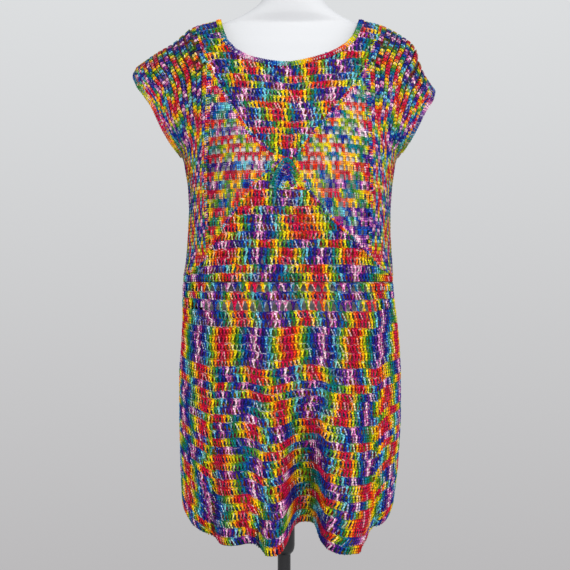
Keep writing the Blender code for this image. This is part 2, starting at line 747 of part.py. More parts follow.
def make_form():
    """The torso and neck of the dress form, lofted through its sections."""
    points, faces = [], []
    for z, half, front, back, power in FORM_SECTIONS:
        lean = NECK_SHIFT * min(max((z - 1.34) / 0.04, 0), 1)
        for k in range(FORM_SIDES):
            turn = 2 * math.pi * k / FORM_SIDES
            c, s = math.cos(turn), math.sin(turn)
            x = half * math.copysign(abs(c) ** (2 / power), c)
            depth = back if s > 0 else front
            if s < 0:
                tall = BUST_SPREAD_UP * 0.8 if z > BUST_Z else BUST_SPREAD_DOWN * 0.55
                away = ((abs(x) - BUST_X) / (BUST_SPREAD_X * 0.85)) ** 2 + ((z - BUST_Z) / tall) ** 2
                depth += FORM_BUST_RISE * math.exp(-away)
            y = depth * math.copysign(abs(s) ** (2 / power), s)
            points.append((x + lean, y, z))
    rings = len(FORM_SECTIONS)
    for i in range(rings - 1):
        for k in range(FORM_SIDES):
            a, b = i * FORM_SIDES + k, i * FORM_SIDES + (k + 1) % FORM_SIDES
            faces.append([a, b, b + FORM_SIDES, a + FORM_SIDES])
    faces.append(list(range(FORM_SIDES)))
    faces.append(list(range((rings - 1) * FORM_SIDES, rings * FORM_SIDES)))
    add_object("form_torso", points, faces, "form_cover")


def make_stand():
    """Pole, height collar and flat round base."""
    centre = (-DRESS_X, 0.0)
    form_foot = FORM_SECTIONS[0][0]
    pole_top = form_foot - SEAM_GAP
    lathe(
        "stand_pole_upper",
        [(POLE_RADIUS, pole_top), (POLE_RADIUS, COLLAR_TOP_Z + SEAM_GAP)],
        centre, STAND_SIDES, "stand_black",
    )
    r, top, low = COLLAR_RADIUS, COLLAR_TOP_Z, COLLAR_BOTTOM_Z
    profile = [(r * 0.70, top), (r * 0.90, top - 0.004), (r, top - 0.012), (r, low + 0.014)]
    profile += [(r * 0.88, low + 0.004), (r * 0.66, low)]
    lathe("stand_collar", profile, centre, STAND_SIDES, "stand_black")
    lathe(
        "stand_pole_lower",
        [(POLE_RADIUS, low - SEAM_GAP), (POLE_RADIUS, BASE_HEIGHT + SOCKET_HEIGHT + SEAM_GAP)],
        centre, STAND_SIDES, "stand_black",
    )
    base = [
        (SOCKET_RADIUS * 0.86, BASE_HEIGHT + SOCKET_HEIGHT),
        (SOCKET_RADIUS, BASE_HEIGHT + SOCKET_HEIGHT - 0.003),
        (SOCKET_RADIUS * 1.1, BASE_HEIGHT + 0.006),
        (SOCKET_RADIUS * 1.6, BASE_HEIGHT),
        (BASE_RADIUS - 0.006, BASE_HEIGHT - 0.003),
        (BASE_RADIUS, BASE_HEIGHT - 0.007),
        (BASE_RADIUS, 0.0),
    ]
    lathe("stand_base", base, centre, STAND_SIDES * 2, "stand_black")


def make_skirt():
    """Front and back of the skirt, and the band of eyelets above each."""
    for face, label, columns, levels in (
        (FRONT, "front", SKIRT_COLUMNS_FRONT, SKIRT_ROWS_FRONT),
        (BACK, "back", SKIRT_COLUMNS_BACK, SKIRT_ROWS_BACK),
    ):
        surface = skirt(face)
        corners = ((0, 0), (1, 1))
        top = (EYELET_BOTTOM_Z - HEM_Z) / (WAIST_Z - HEM_Z)
        eyelet_s = np.linspace(0, 1, EYELETS_A_SIDE + 1)
        hem_s = np.linspace(0, 1, columns + 1)
        rows = np.linspace(0, top, levels + 1)
        outline = joined(
            [(s, 0.0) for s in hem_s],
            [(1.0, w) for w in rows],
            [(s, top) for s in eyelet_s[::-1]],
            [(0.0, w) for w in rows[::-1]],
        )
        inner = [(s, w) for s in hem_s[1:-1] for w in rows[1:-1]]
        cloth_panel(f"skirt_{label}", surface, face, outline, corners, inner, scale=SKIRT_MAP)
        band = joined(
            [(s, top) for s in eyelet_s],
            [(s, 1.0) for s in eyelet_s[::-1]],
        )
        holes = []
        high = EYELET_HIGH / (WAIST_Z - HEM_Z) / 2
        wide = EYELET_WIDE_SHARE / EYELETS_A_SIDE / 2
        middle = (top + 1) / 2
        for s in (eyelet_s[:-1] + eyelet_s[1:]) / 2:
            holes.append([(s - wide, middle - high), (s + wide, middle - high),
                          (s + wide, middle + high), (s - wide, middle + high)])
        cloth_panel(f"eyelet_band_{label}", surface, face, band, corners, (), holes, scale=SKIRT_MAP)


def make_bodice():
    """Yoke, midriff, two net cups and two ribbed side panels in front, and one back panel."""
    surface = bodice(FRONT)
    corners = ((-1, 0), (1, 1))
    yoke_left = seam([*YOKE_SEAM_LEFT, NET_TOP_LEFT])
    yoke_right = seam([*YOKE_SEAM_RIGHT, NET_TOP_RIGHT])
    strap_left = straight(yoke_left[-1], (-YOKE_TOP_X / SLEEVE_TIP_LEFT[0], 1.0), STRAP_STEPS)
    strap_right = straight(yoke_right[-1], (YOKE_TOP_X / SLEEVE_TIP_RIGHT[0], 1.0), STRAP_STEPS)
    midriff_left = seam([*MIDRIFF_SEAM_LEFT, NET_FOOT_LEFT])
    midriff_right = seam([*MIDRIFF_SEAM_RIGHT, NET_FOOT_RIGHT])
    side_left = side_run(-1, MIDRIFF_SIDE_Z, 2.0)
    side_right = side_run(1, MIDRIFF_SIDE_Z, 2.0)
    tail_left = seam(MIDRIFF_TAIL_LEFT) + [side_left[0]]
    tail_right = seam(MIDRIFF_TAIL_RIGHT) + [side_right[0]]
    rib_left, rib_right = seam(RIB_LINE_LEFT), seam(RIB_LINE_RIGHT)

    yoke = joined(
        yoke_right, strap_right, shoulder_run(YOKE_TOP_X, NECK_HALF),
        neckline_run(FRONT)[::-1], shoulder_run(-NECK_HALF, -YOKE_TOP_X),
        strap_left[::-1], yoke_left[::-1], [yoke_right[0]],
    )
    cloth_panel("yoke_front", surface, FRONT, yoke, corners, plain_grid(yoke, PANEL_GRID))

    waist = waist_run(FRONT, EYELETS_A_SIDE)
    midriff = joined(
        midriff_left, tail_left, [waist[0]], waist, [tail_right[-1]],
        tail_right[::-1], midriff_right[::-1], [midriff_left[0]],
    )
    cloth_panel("midriff_front", surface, FRONT, midriff, corners, plain_grid(midriff, PANEL_GRID))

    for side, label, ribs, upper, lower in (
        (-1, "left", rib_left, yoke_left, midriff_left),
        (1, "right", rib_right, yoke_right, midriff_right),
    ):
        net = joined(lower, ribs, upper[::-1])
        holes = net_holes(surface, net, side)
        cloth_panel(f"net_cup_{label}", surface, FRONT, net, corners, (), holes)

    for side, label, ribs, strap, tail, edge, line in (
        (-1, "left", rib_left, strap_left, tail_left, side_left, RIB_LINE_LEFT),
        (1, "right", rib_right, strap_right, tail_right, side_right, RIB_LINE_RIGHT),
    ):
        tip = SLEEVE_TIP_LEFT if side < 0 else SLEEVE_TIP_RIGHT
        panel = joined(
            ribs, strap, shoulder_run(side * YOKE_TOP_X, side * tip[0]), edge[::-1], tail[::-1],
        )
        points, lifts = rib_points(side, line, tip[1])
        keep = clear_of_edge(points, panel, RIB_MARGIN)
        cloth_panel(
            f"side_panel_{label}", surface, FRONT, panel, corners,
            [points[i] for i in keep], (), [lifts[i] for i in keep],
        )

    back = bodice(BACK)
    back_left = side_run(-1, WAIST_Z, MIDRIFF_SIDE_Z)[:-1] + side_left
    back_right = side_run(1, WAIST_Z, MIDRIFF_SIDE_Z)[:-1] + side_right
    panel = joined(
        waist_run(BACK, EYELETS_A_SIDE), back_right,
        shoulder_run(SLEEVE_TIP_RIGHT[0], YOKE_TOP_X), shoulder_run(YOKE_TOP_X, NECK_HALF),
        neckline_run(BACK)[::-1],
        shoulder_run(-NECK_HALF, -YOKE_TOP_X), shoulder_run(-YOKE_TOP_X, -SLEEVE_TIP_LEFT[0]),
        back_left[::-1],
    )
    cloth_panel("bodice_back", back, BACK, panel, corners, plain_grid(panel, PANEL_GRID))


def make_edges():
    """Rows of tight stitches round the neck and the sleeves."""
    low, high = (-1, 0), (1, 1)
    front, back = bodice(FRONT), bodice(BACK)
    neck_front, neck_back = edge_path([
        (front, neckline_run(FRONT)[1:-1], low, high, (0, 0, 1)),
        (back, neckline_run(BACK)[1:-1][::-1], low, high, (0, 0, 1)),
    ])
    crest_x = NECK_HALF - EDGE_RADIUS - SEAM_GAP
    crest_z = float(blend(NECK_HALF, SHOULDER_LEFT, 1)) + CLOTH / 4
    crests = [np.array([(side * crest_x, 0.0, crest_z)]) for side in (-1, 1)]
    neck = [crests[0], neck_front, crests[1], neck_back]
    tube("neck_edge", weld_path(neck, 0.006), EDGE_RADIUS, EDGE_SIDES, "edge_yarn")
    for side, label in ((-1, "left"), (1, "right")):
        run = side_run(side, UNDERARM_Z + 0.006, 2.0)[:-1]
        cuff = cuff_path(side, [(front, run), (back, run[::-1])])
        tube(f"cuff_edge_{label}", weld_path(cuff, 0.006), EDGE_RADIUS, EDGE_SIDES, "edge_yarn")


def main():
    clear_scene()
    make_form()
    make_stand()
    make_skirt()
    make_bodice()
    make_edges()


main()
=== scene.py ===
"""The crochet dress on its form, dressed for a picture: every stitch, the open net and the yarn's colours."""

import math

import bmesh
import bpy
import numpy as np
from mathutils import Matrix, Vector
from mathutils.geometry import delaunay_2d_cdt

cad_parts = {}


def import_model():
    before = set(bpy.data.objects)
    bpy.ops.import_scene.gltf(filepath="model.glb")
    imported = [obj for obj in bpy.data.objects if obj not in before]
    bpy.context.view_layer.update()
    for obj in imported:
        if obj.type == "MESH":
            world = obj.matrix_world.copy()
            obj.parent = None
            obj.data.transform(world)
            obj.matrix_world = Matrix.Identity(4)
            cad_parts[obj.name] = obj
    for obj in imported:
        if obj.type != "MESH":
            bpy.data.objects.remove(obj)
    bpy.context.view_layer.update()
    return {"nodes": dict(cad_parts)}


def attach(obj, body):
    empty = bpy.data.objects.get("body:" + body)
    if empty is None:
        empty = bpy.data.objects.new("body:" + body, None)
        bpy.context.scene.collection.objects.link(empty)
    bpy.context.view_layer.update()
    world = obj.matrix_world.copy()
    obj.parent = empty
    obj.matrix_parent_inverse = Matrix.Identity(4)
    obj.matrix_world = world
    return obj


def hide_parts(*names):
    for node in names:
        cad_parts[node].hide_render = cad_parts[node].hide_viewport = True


# The dress and form hang a little to the right of the pole
DRESS_X = 0.010

# How square a level section of the cloth is, where 2 would be an ellipse
ROUNDNESS = 2.3

# Heights above the floor
WAIST_Z = 0.905
UNDERARM_Z = 1.116

# Bodice: half widths to the wearer's side seam and, above the underarm, to the sleeve edge
BODICE_SIDES = (
    # height, left, right
    (0.905, 0.179, 0.172),
    (0.943, 0.173, 0.170),
    (0.983, 0.170, 0.167),
    (1.024, 0.168, 0.167),
    (1.065, 0.170, 0.170),
    (1.106, 0.177, 0.176),
    (1.116, 0.181, 0.180),
    (1.136, 0.195, 0.193),
    (1.157, 0.207, 0.204),
    (1.187, 0.221, 0.219),
    (1.208, 0.233, 0.233),
    (1.228, 0.249, 0.240),
    (1.232, 0.251, 0.241),
    (1.248, 0.259, 0.241),
    (1.259, 0.262, 0.241),
)
SLEEVE_TIP_LEFT = (0.262, 1.259)
SLEEVE_TIP_RIGHT = (0.241, 1.232)
SLEEVE_TIP = {-1: SLEEVE_TIP_LEFT, 1: SLEEVE_TIP_RIGHT}

# Shoulder line from the neck out to the sleeve tip; inside the neckline it is only a guide
SHOULDER_INNER = (
    # from centre, height
    (0.000, 1.358),
    (0.060, 1.354),
    (0.122, 1.346),
    (0.147, 1.340),
    (0.170, 1.330),
)
SHOULDER_LEFT = (
    *SHOULDER_INNER,
    (0.185, 1.316),
    (0.200, 1.304),
    (0.221, 1.293),
    (0.245, 1.277),
    (0.258, 1.268),
    SLEEVE_TIP_LEFT,
)
SHOULDER_RIGHT = (
    *SHOULDER_INNER,
    (0.185, 1.321),
    (0.203, 1.309),
    (0.212, 1.296),
    (0.216, 1.277),
    (0.225, 1.255),
    SLEEVE_TIP_RIGHT,
)
ROLL_AT_NECK = 0.075
ROLL_AT_SLEEVE = 0.046
ROLL_FROM = 0.78
SLEEVE_SPREAD = 0.085
SLEEVE_OPEN_BY = 0.45

# Depth of the cloth in front of and behind the side seams
BODICE_DEPTHS = (
    # height, front, back
    (0.905, 0.134, 0.120),
    (0.950, 0.135, 0.114),
    (1.000, 0.136, 0.110),
    (1.050, 0.136, 0.110),
    (1.095, 0.133, 0.112),
    (1.130, 0.126, 0.114),
    (1.170, 0.112, 0.113),
    (1.210, 0.096, 0.108),
    (1.250, 0.081, 0.097),
    (1.290, 0.070, 0.084),
    (1.330, 0.063, 0.075),
    (1.390, 0.058, 0.068),
)
BUST_X, BUST_Z, BUST_RISE, BUST_FADE = 0.078, 1.100, 0.010, 0.05
BUST_SPREAD_X, BUST_SPREAD_UP, BUST_SPREAD_DOWN = 0.042, 0.050, 0.100

# Skirt: half widths, and depths in front of and behind the side seams
HEM_HALF, HEM_Z = 0.180, 0.502
SKIRT_SECTIONS = (
    # height, left, right, front, back
    (0.488, 0.158, 0.146, 0.150, 0.150),
    (0.504, 0.170, 0.156, 0.150, 0.150),
    (0.514, 0.177, 0.163, 0.150, 0.150),
    (0.535, 0.180, 0.172, 0.149, 0.149),
    (0.596, 0.183, 0.180, 0.147, 0.147),
    (0.677, 0.185, 0.185, 0.143, 0.142),
    (0.759, 0.185, 0.185, 0.139, 0.137),
    (0.800, 0.182, 0.183, 0.137, 0.133),
    (0.841, 0.180, 0.179, 0.136, 0.128),
    (0.881, 0.180, 0.174, 0.135, 0.122),
    (0.905, 0.179, 0.172, 0.134, 0.120),
)
HEM_HEIGHTS = (
    # across, front, back
    (-HEM_HALF, 0.535, 0.518),
    (-0.160, 0.515, 0.508),
    (-0.140, 0.506, 0.506),
    (-0.124, 0.493, 0.504),
    (-0.083, 0.501, 0.502),
    (-0.066, 0.505, 0.502),
    (-0.042, 0.489, 0.502),
    (-0.024, 0.491, 0.504),
    (0.016, 0.511, 0.505),
    (0.044, 0.513, 0.506),
    (0.055, 0.498, 0.505),
    (0.090, 0.488, 0.502),
    (0.118, 0.484, 0.503),
    (0.132, 0.480, 0.503),
    (0.148, 0.509, 0.505),
    (HEM_HALF, 0.520, 0.512),
)
# A fold goes inwards where its depth is positive, and stands out where it is negative
FRONT_FOLDS = (
    # across at hem, across at top, half width, depth, top height, squareness
    (-0.122, -0.118, 0.011, 0.030, 0.760, 2),
    (-0.083, -0.070, 0.026, -0.010, 0.720, 2),
    (-0.050, -0.042, 0.009, 0.014, 0.590, 2),
    (-0.024, -0.016, 0.021, -0.020, 0.720, 2),
    (0.022, 0.019, 0.026, 0.104, 0.745, 4),
    (0.087, 0.074, 0.029, -0.018, 0.780, 2),
    (0.131, 0.128, 0.010, 0.038, 0.845, 2),
)
BACK_FOLDS = (
    # across at hem, across at top, half width, depth, top height, squareness
    (-0.105, -0.095, 0.014, 0.030, 0.780, 2),
    (-0.060, -0.055, 0.026, -0.012, 0.720, 2),
    (-0.012, -0.008, 0.018, 0.046, 0.740, 3),
    (0.045, 0.040, 0.026, -0.014, 0.720, 2),
    (0.095, 0.088, 0.014, 0.034, 0.790, 2),
)
FOLD_GROWTH, FOLD_END = 1.25, 1.05

# Neckline heights by distance from the centre
NECK_HALF = 0.122
NECKLINE = (
    # from centre, front left, front right, back
    (0.000, 1.254, 1.254, 1.325),
    (0.020, 1.255, 1.258, 1.325),
    (0.040, 1.258, 1.263, 1.326),
    (0.065, 1.264, 1.271, 1.328),
    (0.081, 1.272, 1.280, 1.331),
    (0.090, 1.278, 1.286, 1.333),
    (0.098, 1.285, 1.293, 1.335),
    (0.106, 1.295, 1.303, 1.337),
    (0.113, 1.312, 1.318, 1.339),
    (0.119, 1.334, 1.336, 1.343),
    (0.122, 1.346, 1.346, 1.346),
)

# Seams of the front bodice, as seen from the front: across, height. The left side is -1 and the right is 1
YOKE_TOP_X = 0.155
KNOT_LEFT = (-0.013, 1.097)
KNOT_RIGHT = (0.005, 1.097)
YOKE_SEAM = {
    -1: (KNOT_LEFT, (-0.034, 1.111), (-0.061, 1.135), (-0.088, 1.176), (-0.115, 1.222)),
    1: (KNOT_RIGHT, (0.026, 1.124), (0.061, 1.168), (0.090, 1.205), (0.112, 1.234)),
}
NET_TOP = {-1: (-0.133, 1.258), 1: (0.128, 1.262)}
NET_FOOT = {-1: (-0.133, 0.946), 1: (0.128, 0.946)}
MIDRIFF_SEAM = {
    -1: (KNOT_LEFT, (-0.031, 1.081), (-0.061, 1.052), (-0.080, 1.024), (-0.102, 0.996)),
    1: (KNOT_RIGHT, (0.013, 1.070), (0.028, 1.048), (0.069, 0.999), (0.098, 0.973)),
}
MIDRIFF_SIDE_Z = 0.917
MIDRIFF_TAIL = {
    -1: (NET_FOOT[-1], (-0.143, 0.932), (-0.160, 0.923)),
    1: (NET_FOOT[1], (0.138, 0.932), (0.154, 0.923)),
}
RIB_LINE = {
    -1: (NET_FOOT[-1], (-0.137, 1.040), (-0.136, 1.140), NET_TOP[-1]),
    1: (NET_FOOT[1], (0.131, 1.040), (0.130, 1.140), NET_TOP[1]),
}

# Openwork
NET_PITCH, NET_ROW = 0.0112, 0.0142
NET_HOLE_WIDE, NET_HOLE_HIGH = 0.0066, 0.0084
NET_MARGIN = 0.0028
EYELETS_A_SIDE = 44

# Dress form
FORM_SECTIONS = (
    # height, half width, front, back, roundness
    (0.620, 0.132, 0.078, 0.084, 2.2),
    (0.625, 0.149, 0.090, 0.098, 2.2),
    (0.640, 0.156, 0.096, 0.105, 2.2),
    (0.760, 0.163, 0.101, 0.115, 2.2),
    (0.840, 0.152, 0.098, 0.104, 2.2),
    (0.900, 0.142, 0.096, 0.090, 2.2),
    (0.950, 0.140, 0.098, 0.084, 2.3),
    (1.010, 0.147, 0.110, 0.086, 2.4),
    (1.055, 0.154, 0.120, 0.091, 2.5),
    (1.095, 0.158, 0.1255, 0.097, 2.5),
    (1.130, 0.166, 0.119, 0.101, 2.4),
    (1.170, 0.173, 0.105, 0.102, 2.4),
    (1.220, 0.181, 0.088, 0.096, 2.4),
    (1.265, 0.186, 0.070, 0.077, 2.4),
    (1.300, 0.184, 0.045, 0.056, 2.2),
    (1.3160, 0.1780, 0.038, 0.047, 2.0),
    (1.3277, 0.1690, 0.033, 0.040, 1.8),
    (1.3378, 0.1470, 0.031, 0.039, 1.7),
    (1.3424, 0.1200, 0.033, 0.043, 1.7),
    (1.3535, 0.0900, 0.040, 0.048, 1.9),
    (1.3690, 0.0640, 0.045, 0.051, 2.0),
    (1.3850, 0.0520, 0.047, 0.052, 2.0),
    (1.4320, 0.0485, 0.045, 0.049, 2.0),
    (1.4370, 0.0430, 0.040, 0.044, 2.0),
)
# The form's bust against the cloth's: its rise, and its spread up, down and across as shares of the cloth's
FORM_BUST_RISE = 0.0125
FORM_BUST_UP, FORM_BUST_DOWN, FORM_BUST_ACROSS = 0.8, 0.55, 0.85
NECK_SHIFT, NECK_SHIFT_FROM, NECK_SHIFT_RISE = 0.005, 1.34, 0.04

# Stand
POLE_RADIUS = 0.0110
COLLAR_RADIUS, COLLAR_TOP_Z, COLLAR_BOTTOM_Z = 0.0180, 0.500, 0.444
BASE_RADIUS, BASE_HEIGHT = 0.175, 0.012
SOCKET_RADIUS, SOCKET_HEIGHT = 0.021, 0.045

# Metres for one u and one v of the flat map of the bodice, and for one s and one w of the skirt's
FLAT_MAP = (0.24, 0.42)
SKIRT_MAP = (0.6, WAIST_Z - 0.5)

# Sampling
OUTLINE_STEP = 0.008
STRAP_STEPS = 6
RING_POINTS = 1601
# The search for a place on the bodice starts at its distance across over this half width
PLACE_START, PLACE_ROUNDS = 0.2, 30
TABLE_ROWS, TABLE_COLUMNS = 121, 601
LEVEL_SAMPLES, SIDE_SAMPLES, NET_SAMPLES, COLUMN_SAMPLES = 400, 500, 240, 300
GRID_STEP, GRID_CLEAR, EDGE_POINT_STEP = 0.010, 0.45, 0.004
NECK_POINTS, KNOT_POINTS, HOLE_POINTS = 19, 25, 8
WAIST_POINTS, SKIRT_COLUMNS, SKIRT_SKIN_ROWS = 41, 73, 46
# The column of the bodice along which its rows are evenly spaced, and the top of the side panels' rows
LEVEL_COLUMN, RIB_TOP = 0.45, 0.999
# A height above the whole dress, so that a run up the side goes on to the sleeve's tip
ABOVE_ALL = 2.0
FORM_SECTION_COUNT, ROUND_SIDES, SHARP_FROM = 120, 96, math.radians(35)

FRONT, BACK = -1, 1
FACES = ((FRONT, "front"), (BACK, "back"))
SIDES = ((-1, "left"), (1, "right"))
# The lowest and the highest (u, v) of a bodice surface, and (s, w) of a skirt surface
BODICE_CORNERS, SKIRT_CORNERS = ((-1, 0), (1, 1)), ((0, 0), (1, 1))

# Stitches
STITCH, EDGE_STITCH = 0.0059, 0.0042
PLY_DEEP, PLY_CROSS = 0.00115, 0.00150
POST_BOW = 0.0003
PLIES = (
    # lean either way, half width, rise, size from foot to head, painted light and shade from foot to head
    (-1, 0.00140, 0.0001, (0.75, 1.10, 0.90), (0.30, 0.80, 0.60)),
    (1, 0.00145, 0.0006,
     (0.60, 1.15, 0.65, 1.25, 0.70, 1.25, 0.80), (0.25, 1.10, 0.30, 1.15, 0.35, 1.30, 0.60)),
)
# The same with fewer bends, for the sides and the back
PLAIN_PLIES = (
    PLIES[0],
    (1, 0.00145, 0.0006, (0.60, 1.20, 0.65, 1.25, 0.80), (0.25, 1.15, 0.30, 1.20, 0.60)),
)
PLY_TWIST, PLY_WAVE, PLY_STEP = 0.6, 0.012, 0.006
SHADE_FROM, SHADE_SPREAD = 0.72, 0.5
SIZE_FROM, SIZE_SPREAD = 0.86, 0.28
# Sides of a strand, and its painted shade and light: the inward side is painted dark and the outward side
# light
TUBE_SIDES, TUBE_DARK, TUBE_LIGHT = 3, 0.55, 0.45
# Chains: size and painted light from start to end, for strands of two rings and of three; the ends tucked
# under are painted in shade
CHAIN_SWELL = {2: (0.90, 1.05), 3: (0.8, 1.15, 0.9)}
CHAIN_PAINTED_LIGHT = {2: (0.70, 0.80), 3: (0.55, 0.95, 0.65)}
CHAIN_REACH, CHAIN_WIDE = 0.47, 0.30
CHAIN_APART_START, CHAIN_APART_END = 0.46, 0.10
CHAIN_RISE, CHAIN_START_UP, CHAIN_MIDDLE_UP, CHAIN_END_DOWN = 0.0004, 0.0003, 0.0002, 0.0002
CHAIN_SHADE_FROM, CHAIN_SHADE_SPREAD = 0.6, 0.6
# How far below the top of its row a stitch's head and the chain are, as a share of the row
HEAD_BELOW, CHAIN_BELOW = 0.10, 0.05
STITCH_JITTER, PLACE_JITTER = 0.0022, 0.014
# Painted light and shade: the darkest and the lightest that the yarn is painted, and the skin's painted shade
PAINTED_LIGHT_LOW, PAINTED_LIGHT_HIGH, SKIN_PAINTED_SHADE = 0.10, 1.55, 0.03
RIPPLE = 0.0011
ROW_SLANT = 0.0014
CHAIN_HIGH, CHAIN_DEEP = 0.0032, 0.0011
RIB_BOW = 0.0014
BAR_SIZE, BAR_CROSS, BAR_APART, BAR_BOW, BAR_OVERLAP = 0.92, 0.00055, 0.00115, 0.0006, 0.0010
EYELET_POST_APART, EYELET_POST_LEAN, EYELET_SIDE = 0.0034, 0.0024, 0.002
EDGE_SIZE, EDGE_RISE, EDGE_BOW, EDGE_LEAN = 0.85, 0.0006, 0.0008, 0.0012
EDGE_CHAIN_HIGH, EDGE_CHAIN_DEEP = 0.0030, 0.0012
BAND_APART, BAND_HIGH, BAND_STITCH = 0.0014, 0.0036, 0.0037
# RIB_LIGHT cuts the painted light of the side panels' stitches, so they are painted in shade
RIB_CROSS, RIB_SIZE, RIB_INSET, RIB_LIGHT = 0.0012, 0.85, 0.14, 0.45
RIB_COLUMN, RIB_CHAIN_HIGH, RIB_CHAIN_DEEP, RIB_CHAIN_RISE = 0.16, 0.0034, 0.0012, 0.0013
SAG_SPREAD, SAG_DEPTH, SAG_FROM, SAG_RISE = 0.55, 0.0075, 0.45, 0.18
NET_CLOSED, NET_CLOSE_BELOW = 0.65, 1.085
NET_OPEN_TO = {-1: 1.165, 1: 1.235}
NET_FIRST_ROW, NET_START, NET_END = 0.6, 0.002, 0.01
NET_FILL_EARLY, NET_FILL_LATE = 0.36, 0.64
NET_EDGE_FILL_BEFORE, NET_EDGE_FILL_AFTER = 0.0022, 0.0010
SEAM_WIDE = 0.0036
SEAM_ROWS = (
    # seam, place along the dyed yarn, seed
    ("yoke_left", 0.1, 1), ("yoke_right", 0.6, 2), ("midriff_left", 0.35, 3), ("midriff_right", 0.8, 4),
    ("tail_left", 0.5, 5), ("tail_right", 0.2, 6), ("strap_left", 0.7, 7), ("strap_right", 0.3, 8),
)
# The rows along the rib lines: their width and how far they reach from the line
RIB_EDGE_WIDE, RIB_EDGE_REACH = 0.0090, 0.0030
KNOT_X, KNOT_Z, KNOT_RISE, KNOT_ROW, KNOT_ARCH, KNOT_CHAIN = -0.006, 1.050, 0.0010, 0.0062, 1.5, 0.42
KNOT_ARCHES = (
    # half width and height from the foot of the arches, dye at the left foot, at the top, at the right foot
    (0.0240, 0.0440, 0.28, 0.33, 0.13),
    (0.0185, 0.0350, 0.32, 0.40, 0.08),
    (0.0130, 0.0260, 0.35, 0.45, 0.17),
    (0.0080, 0.0170, 0.73, 0.67, 0.53),
    (0.0030, 0.0080, 0.24, 0.20, 0.26),
)
SHELL = 0.0008
SKIRT_ROWS = 29
SKIRT_ROWS_TOP = 0.886
EYELET_2_TOP = 0.930
BAND_FOOT, EYELET_1_TOP, BAND_ROW = 0.960, 0.995, 60
BODICE_ROWS = 38
SIDE_ROWS = 17
OPEN_WIDE, OPEN_HIGH = 0.42, 0.0038
OPEN_SPOTS = (
    # rib, height as a share of the bodice
    (0, 0.745), (0, 0.785), (0, 0.822), (0, 0.868),
    (1, 0.728), (1, 0.762), (1, 0.801), (1, 0.846),
)
NECK_REACH, NECK_WIDE, NECK_RISE, NECK_CHAIN = 0.0006, 0.0072, 0.0008, 0.45
CUFF_REACH, CUFF_WIDE, CUFF_RISE, CUFF_LIFT = 0.0004, 0.0042, 0.0010, 0.006

# A crease is as deep along its line as this part of half a wave, and goes inwards by these shares of x, y, z
CREASE_SPAN, CREASE_START, CREASE_OUT = 0.9, 0.05, (1.0, 1.6, 0.0)
# Creases: a line seen from the front, half width, and depth, which is negative for a ridge
FRONT_CREASES = (
    # across and height at its start and at its end, half width, depth
    (-0.016, 1.092, -0.072, 1.112, 0.0050, 0.0016),
    (-0.016, 1.088, -0.066, 1.070, 0.0060, 0.0018),
    (0.008, 1.092, 0.060, 1.108, 0.0055, 0.0018),
    (0.008, 1.088, 0.058, 1.062, 0.0050, 0.0014),
    (-0.012, 1.080, -0.034, 1.022, 0.0055, 0.0020),
    (-0.004, 1.082, -0.008, 1.012, 0.0045, 0.0016),
    (0.006, 1.080, 0.026, 1.030, 0.0060, 0.0018),
    (-0.008, 1.104, -0.022, 1.150, 0.0050, 0.0014),
    (0.002, 1.106, 0.012, 1.160, 0.0055, 0.0012),
    (-0.180, 1.112, -0.142, 1.160, 0.0075, 0.0024),
    (-0.186, 1.120, -0.162, 1.215, 0.0060, 0.0020),
    (-0.222, 1.190, -0.190, 1.275, 0.0080, 0.0026),
    (0.178, 1.112, 0.150, 1.150, 0.0070, 0.0022),
    (0.190, 1.128, 0.168, 1.232, 0.0065, 0.0020),
    (-0.168, 0.962, -0.118, 0.940, 0.0070, 0.0022),
    (-0.165, 0.990, -0.138, 0.976, 0.0050, 0.0014),
    (0.164, 0.955, 0.104, 0.930, 0.0080, 0.0024),
    (0.162, 0.984, 0.130, 0.968, 0.0050, 0.0014),
    (-0.080, 0.960, -0.030, 0.936, 0.0090, -0.0012),
    (0.040, 0.972, 0.086, 0.948, 0.0080, -0.0010),
)
BACK_CREASES = (
    # across and height at its start and at its end, half width, depth
    (-0.160, 0.940, -0.070, 0.952, 0.0090, 0.0030),
    (-0.158, 0.968, -0.090, 0.990, 0.0070, 0.0022),
    (0.158, 0.936, 0.060, 0.946, 0.0100, 0.0032),
    (0.150, 0.970, 0.084, 0.982, 0.0065, 0.0020),
    (-0.178, 1.110, -0.120, 1.170, 0.0090, 0.0026),
    (0.176, 1.112, 0.124, 1.184, 0.0085, 0.0028),
    (-0.030, 1.240, 0.046, 1.232, 0.0110, -0.0014),
    (-0.010, 0.925, 0.004, 1.010, 0.0120, 0.0016),
)
SKIRT_CREASES_FRONT = (
    # across and height at its start and at its end, half width, depth
    (-0.150, 0.860, -0.120, 0.700, 0.0090, 0.0024),
    (-0.095, 0.780, -0.100, 0.560, 0.0080, 0.0020),
    (-0.055, 0.720, -0.052, 0.540, 0.0070, 0.0022),
    (0.000, 0.790, 0.006, 0.600, 0.0080, 0.0020),
    (0.052, 0.760, 0.060, 0.520, 0.0075, 0.0026),
    (0.110, 0.840, 0.106, 0.640, 0.0085, 0.0022),
    (0.152, 0.880, 0.160, 0.720, 0.0070, 0.0024),
    (-0.160, 0.680, -0.150, 0.540, 0.0080, 0.0022),
    (0.160, 0.660, 0.150, 0.530, 0.0085, 0.0022),
    (-0.124, 0.730, -0.122, 0.525, 0.0042, -0.0030),
    (-0.012, 0.710, -0.009, 0.515, 0.0040, -0.0034),
    (0.129, 0.750, 0.132, 0.515, 0.0042, -0.0034),
    (0.054, 0.690, 0.061, 0.535, 0.0045, -0.0024),
)
SKIRT_CREASES_BACK = (
    # across and height at its start and at its end, half width, depth
    (-0.140, 0.870, -0.120, 0.640, 0.0100, 0.0028),
    (-0.084, 0.800, -0.088, 0.560, 0.0080, 0.0022),
    (0.018, 0.850, 0.022, 0.610, 0.0095, 0.0026),
    (0.070, 0.760, 0.072, 0.530, 0.0075, 0.0022),
    (0.130, 0.880, 0.134, 0.660, 0.0090, 0.0030),
)

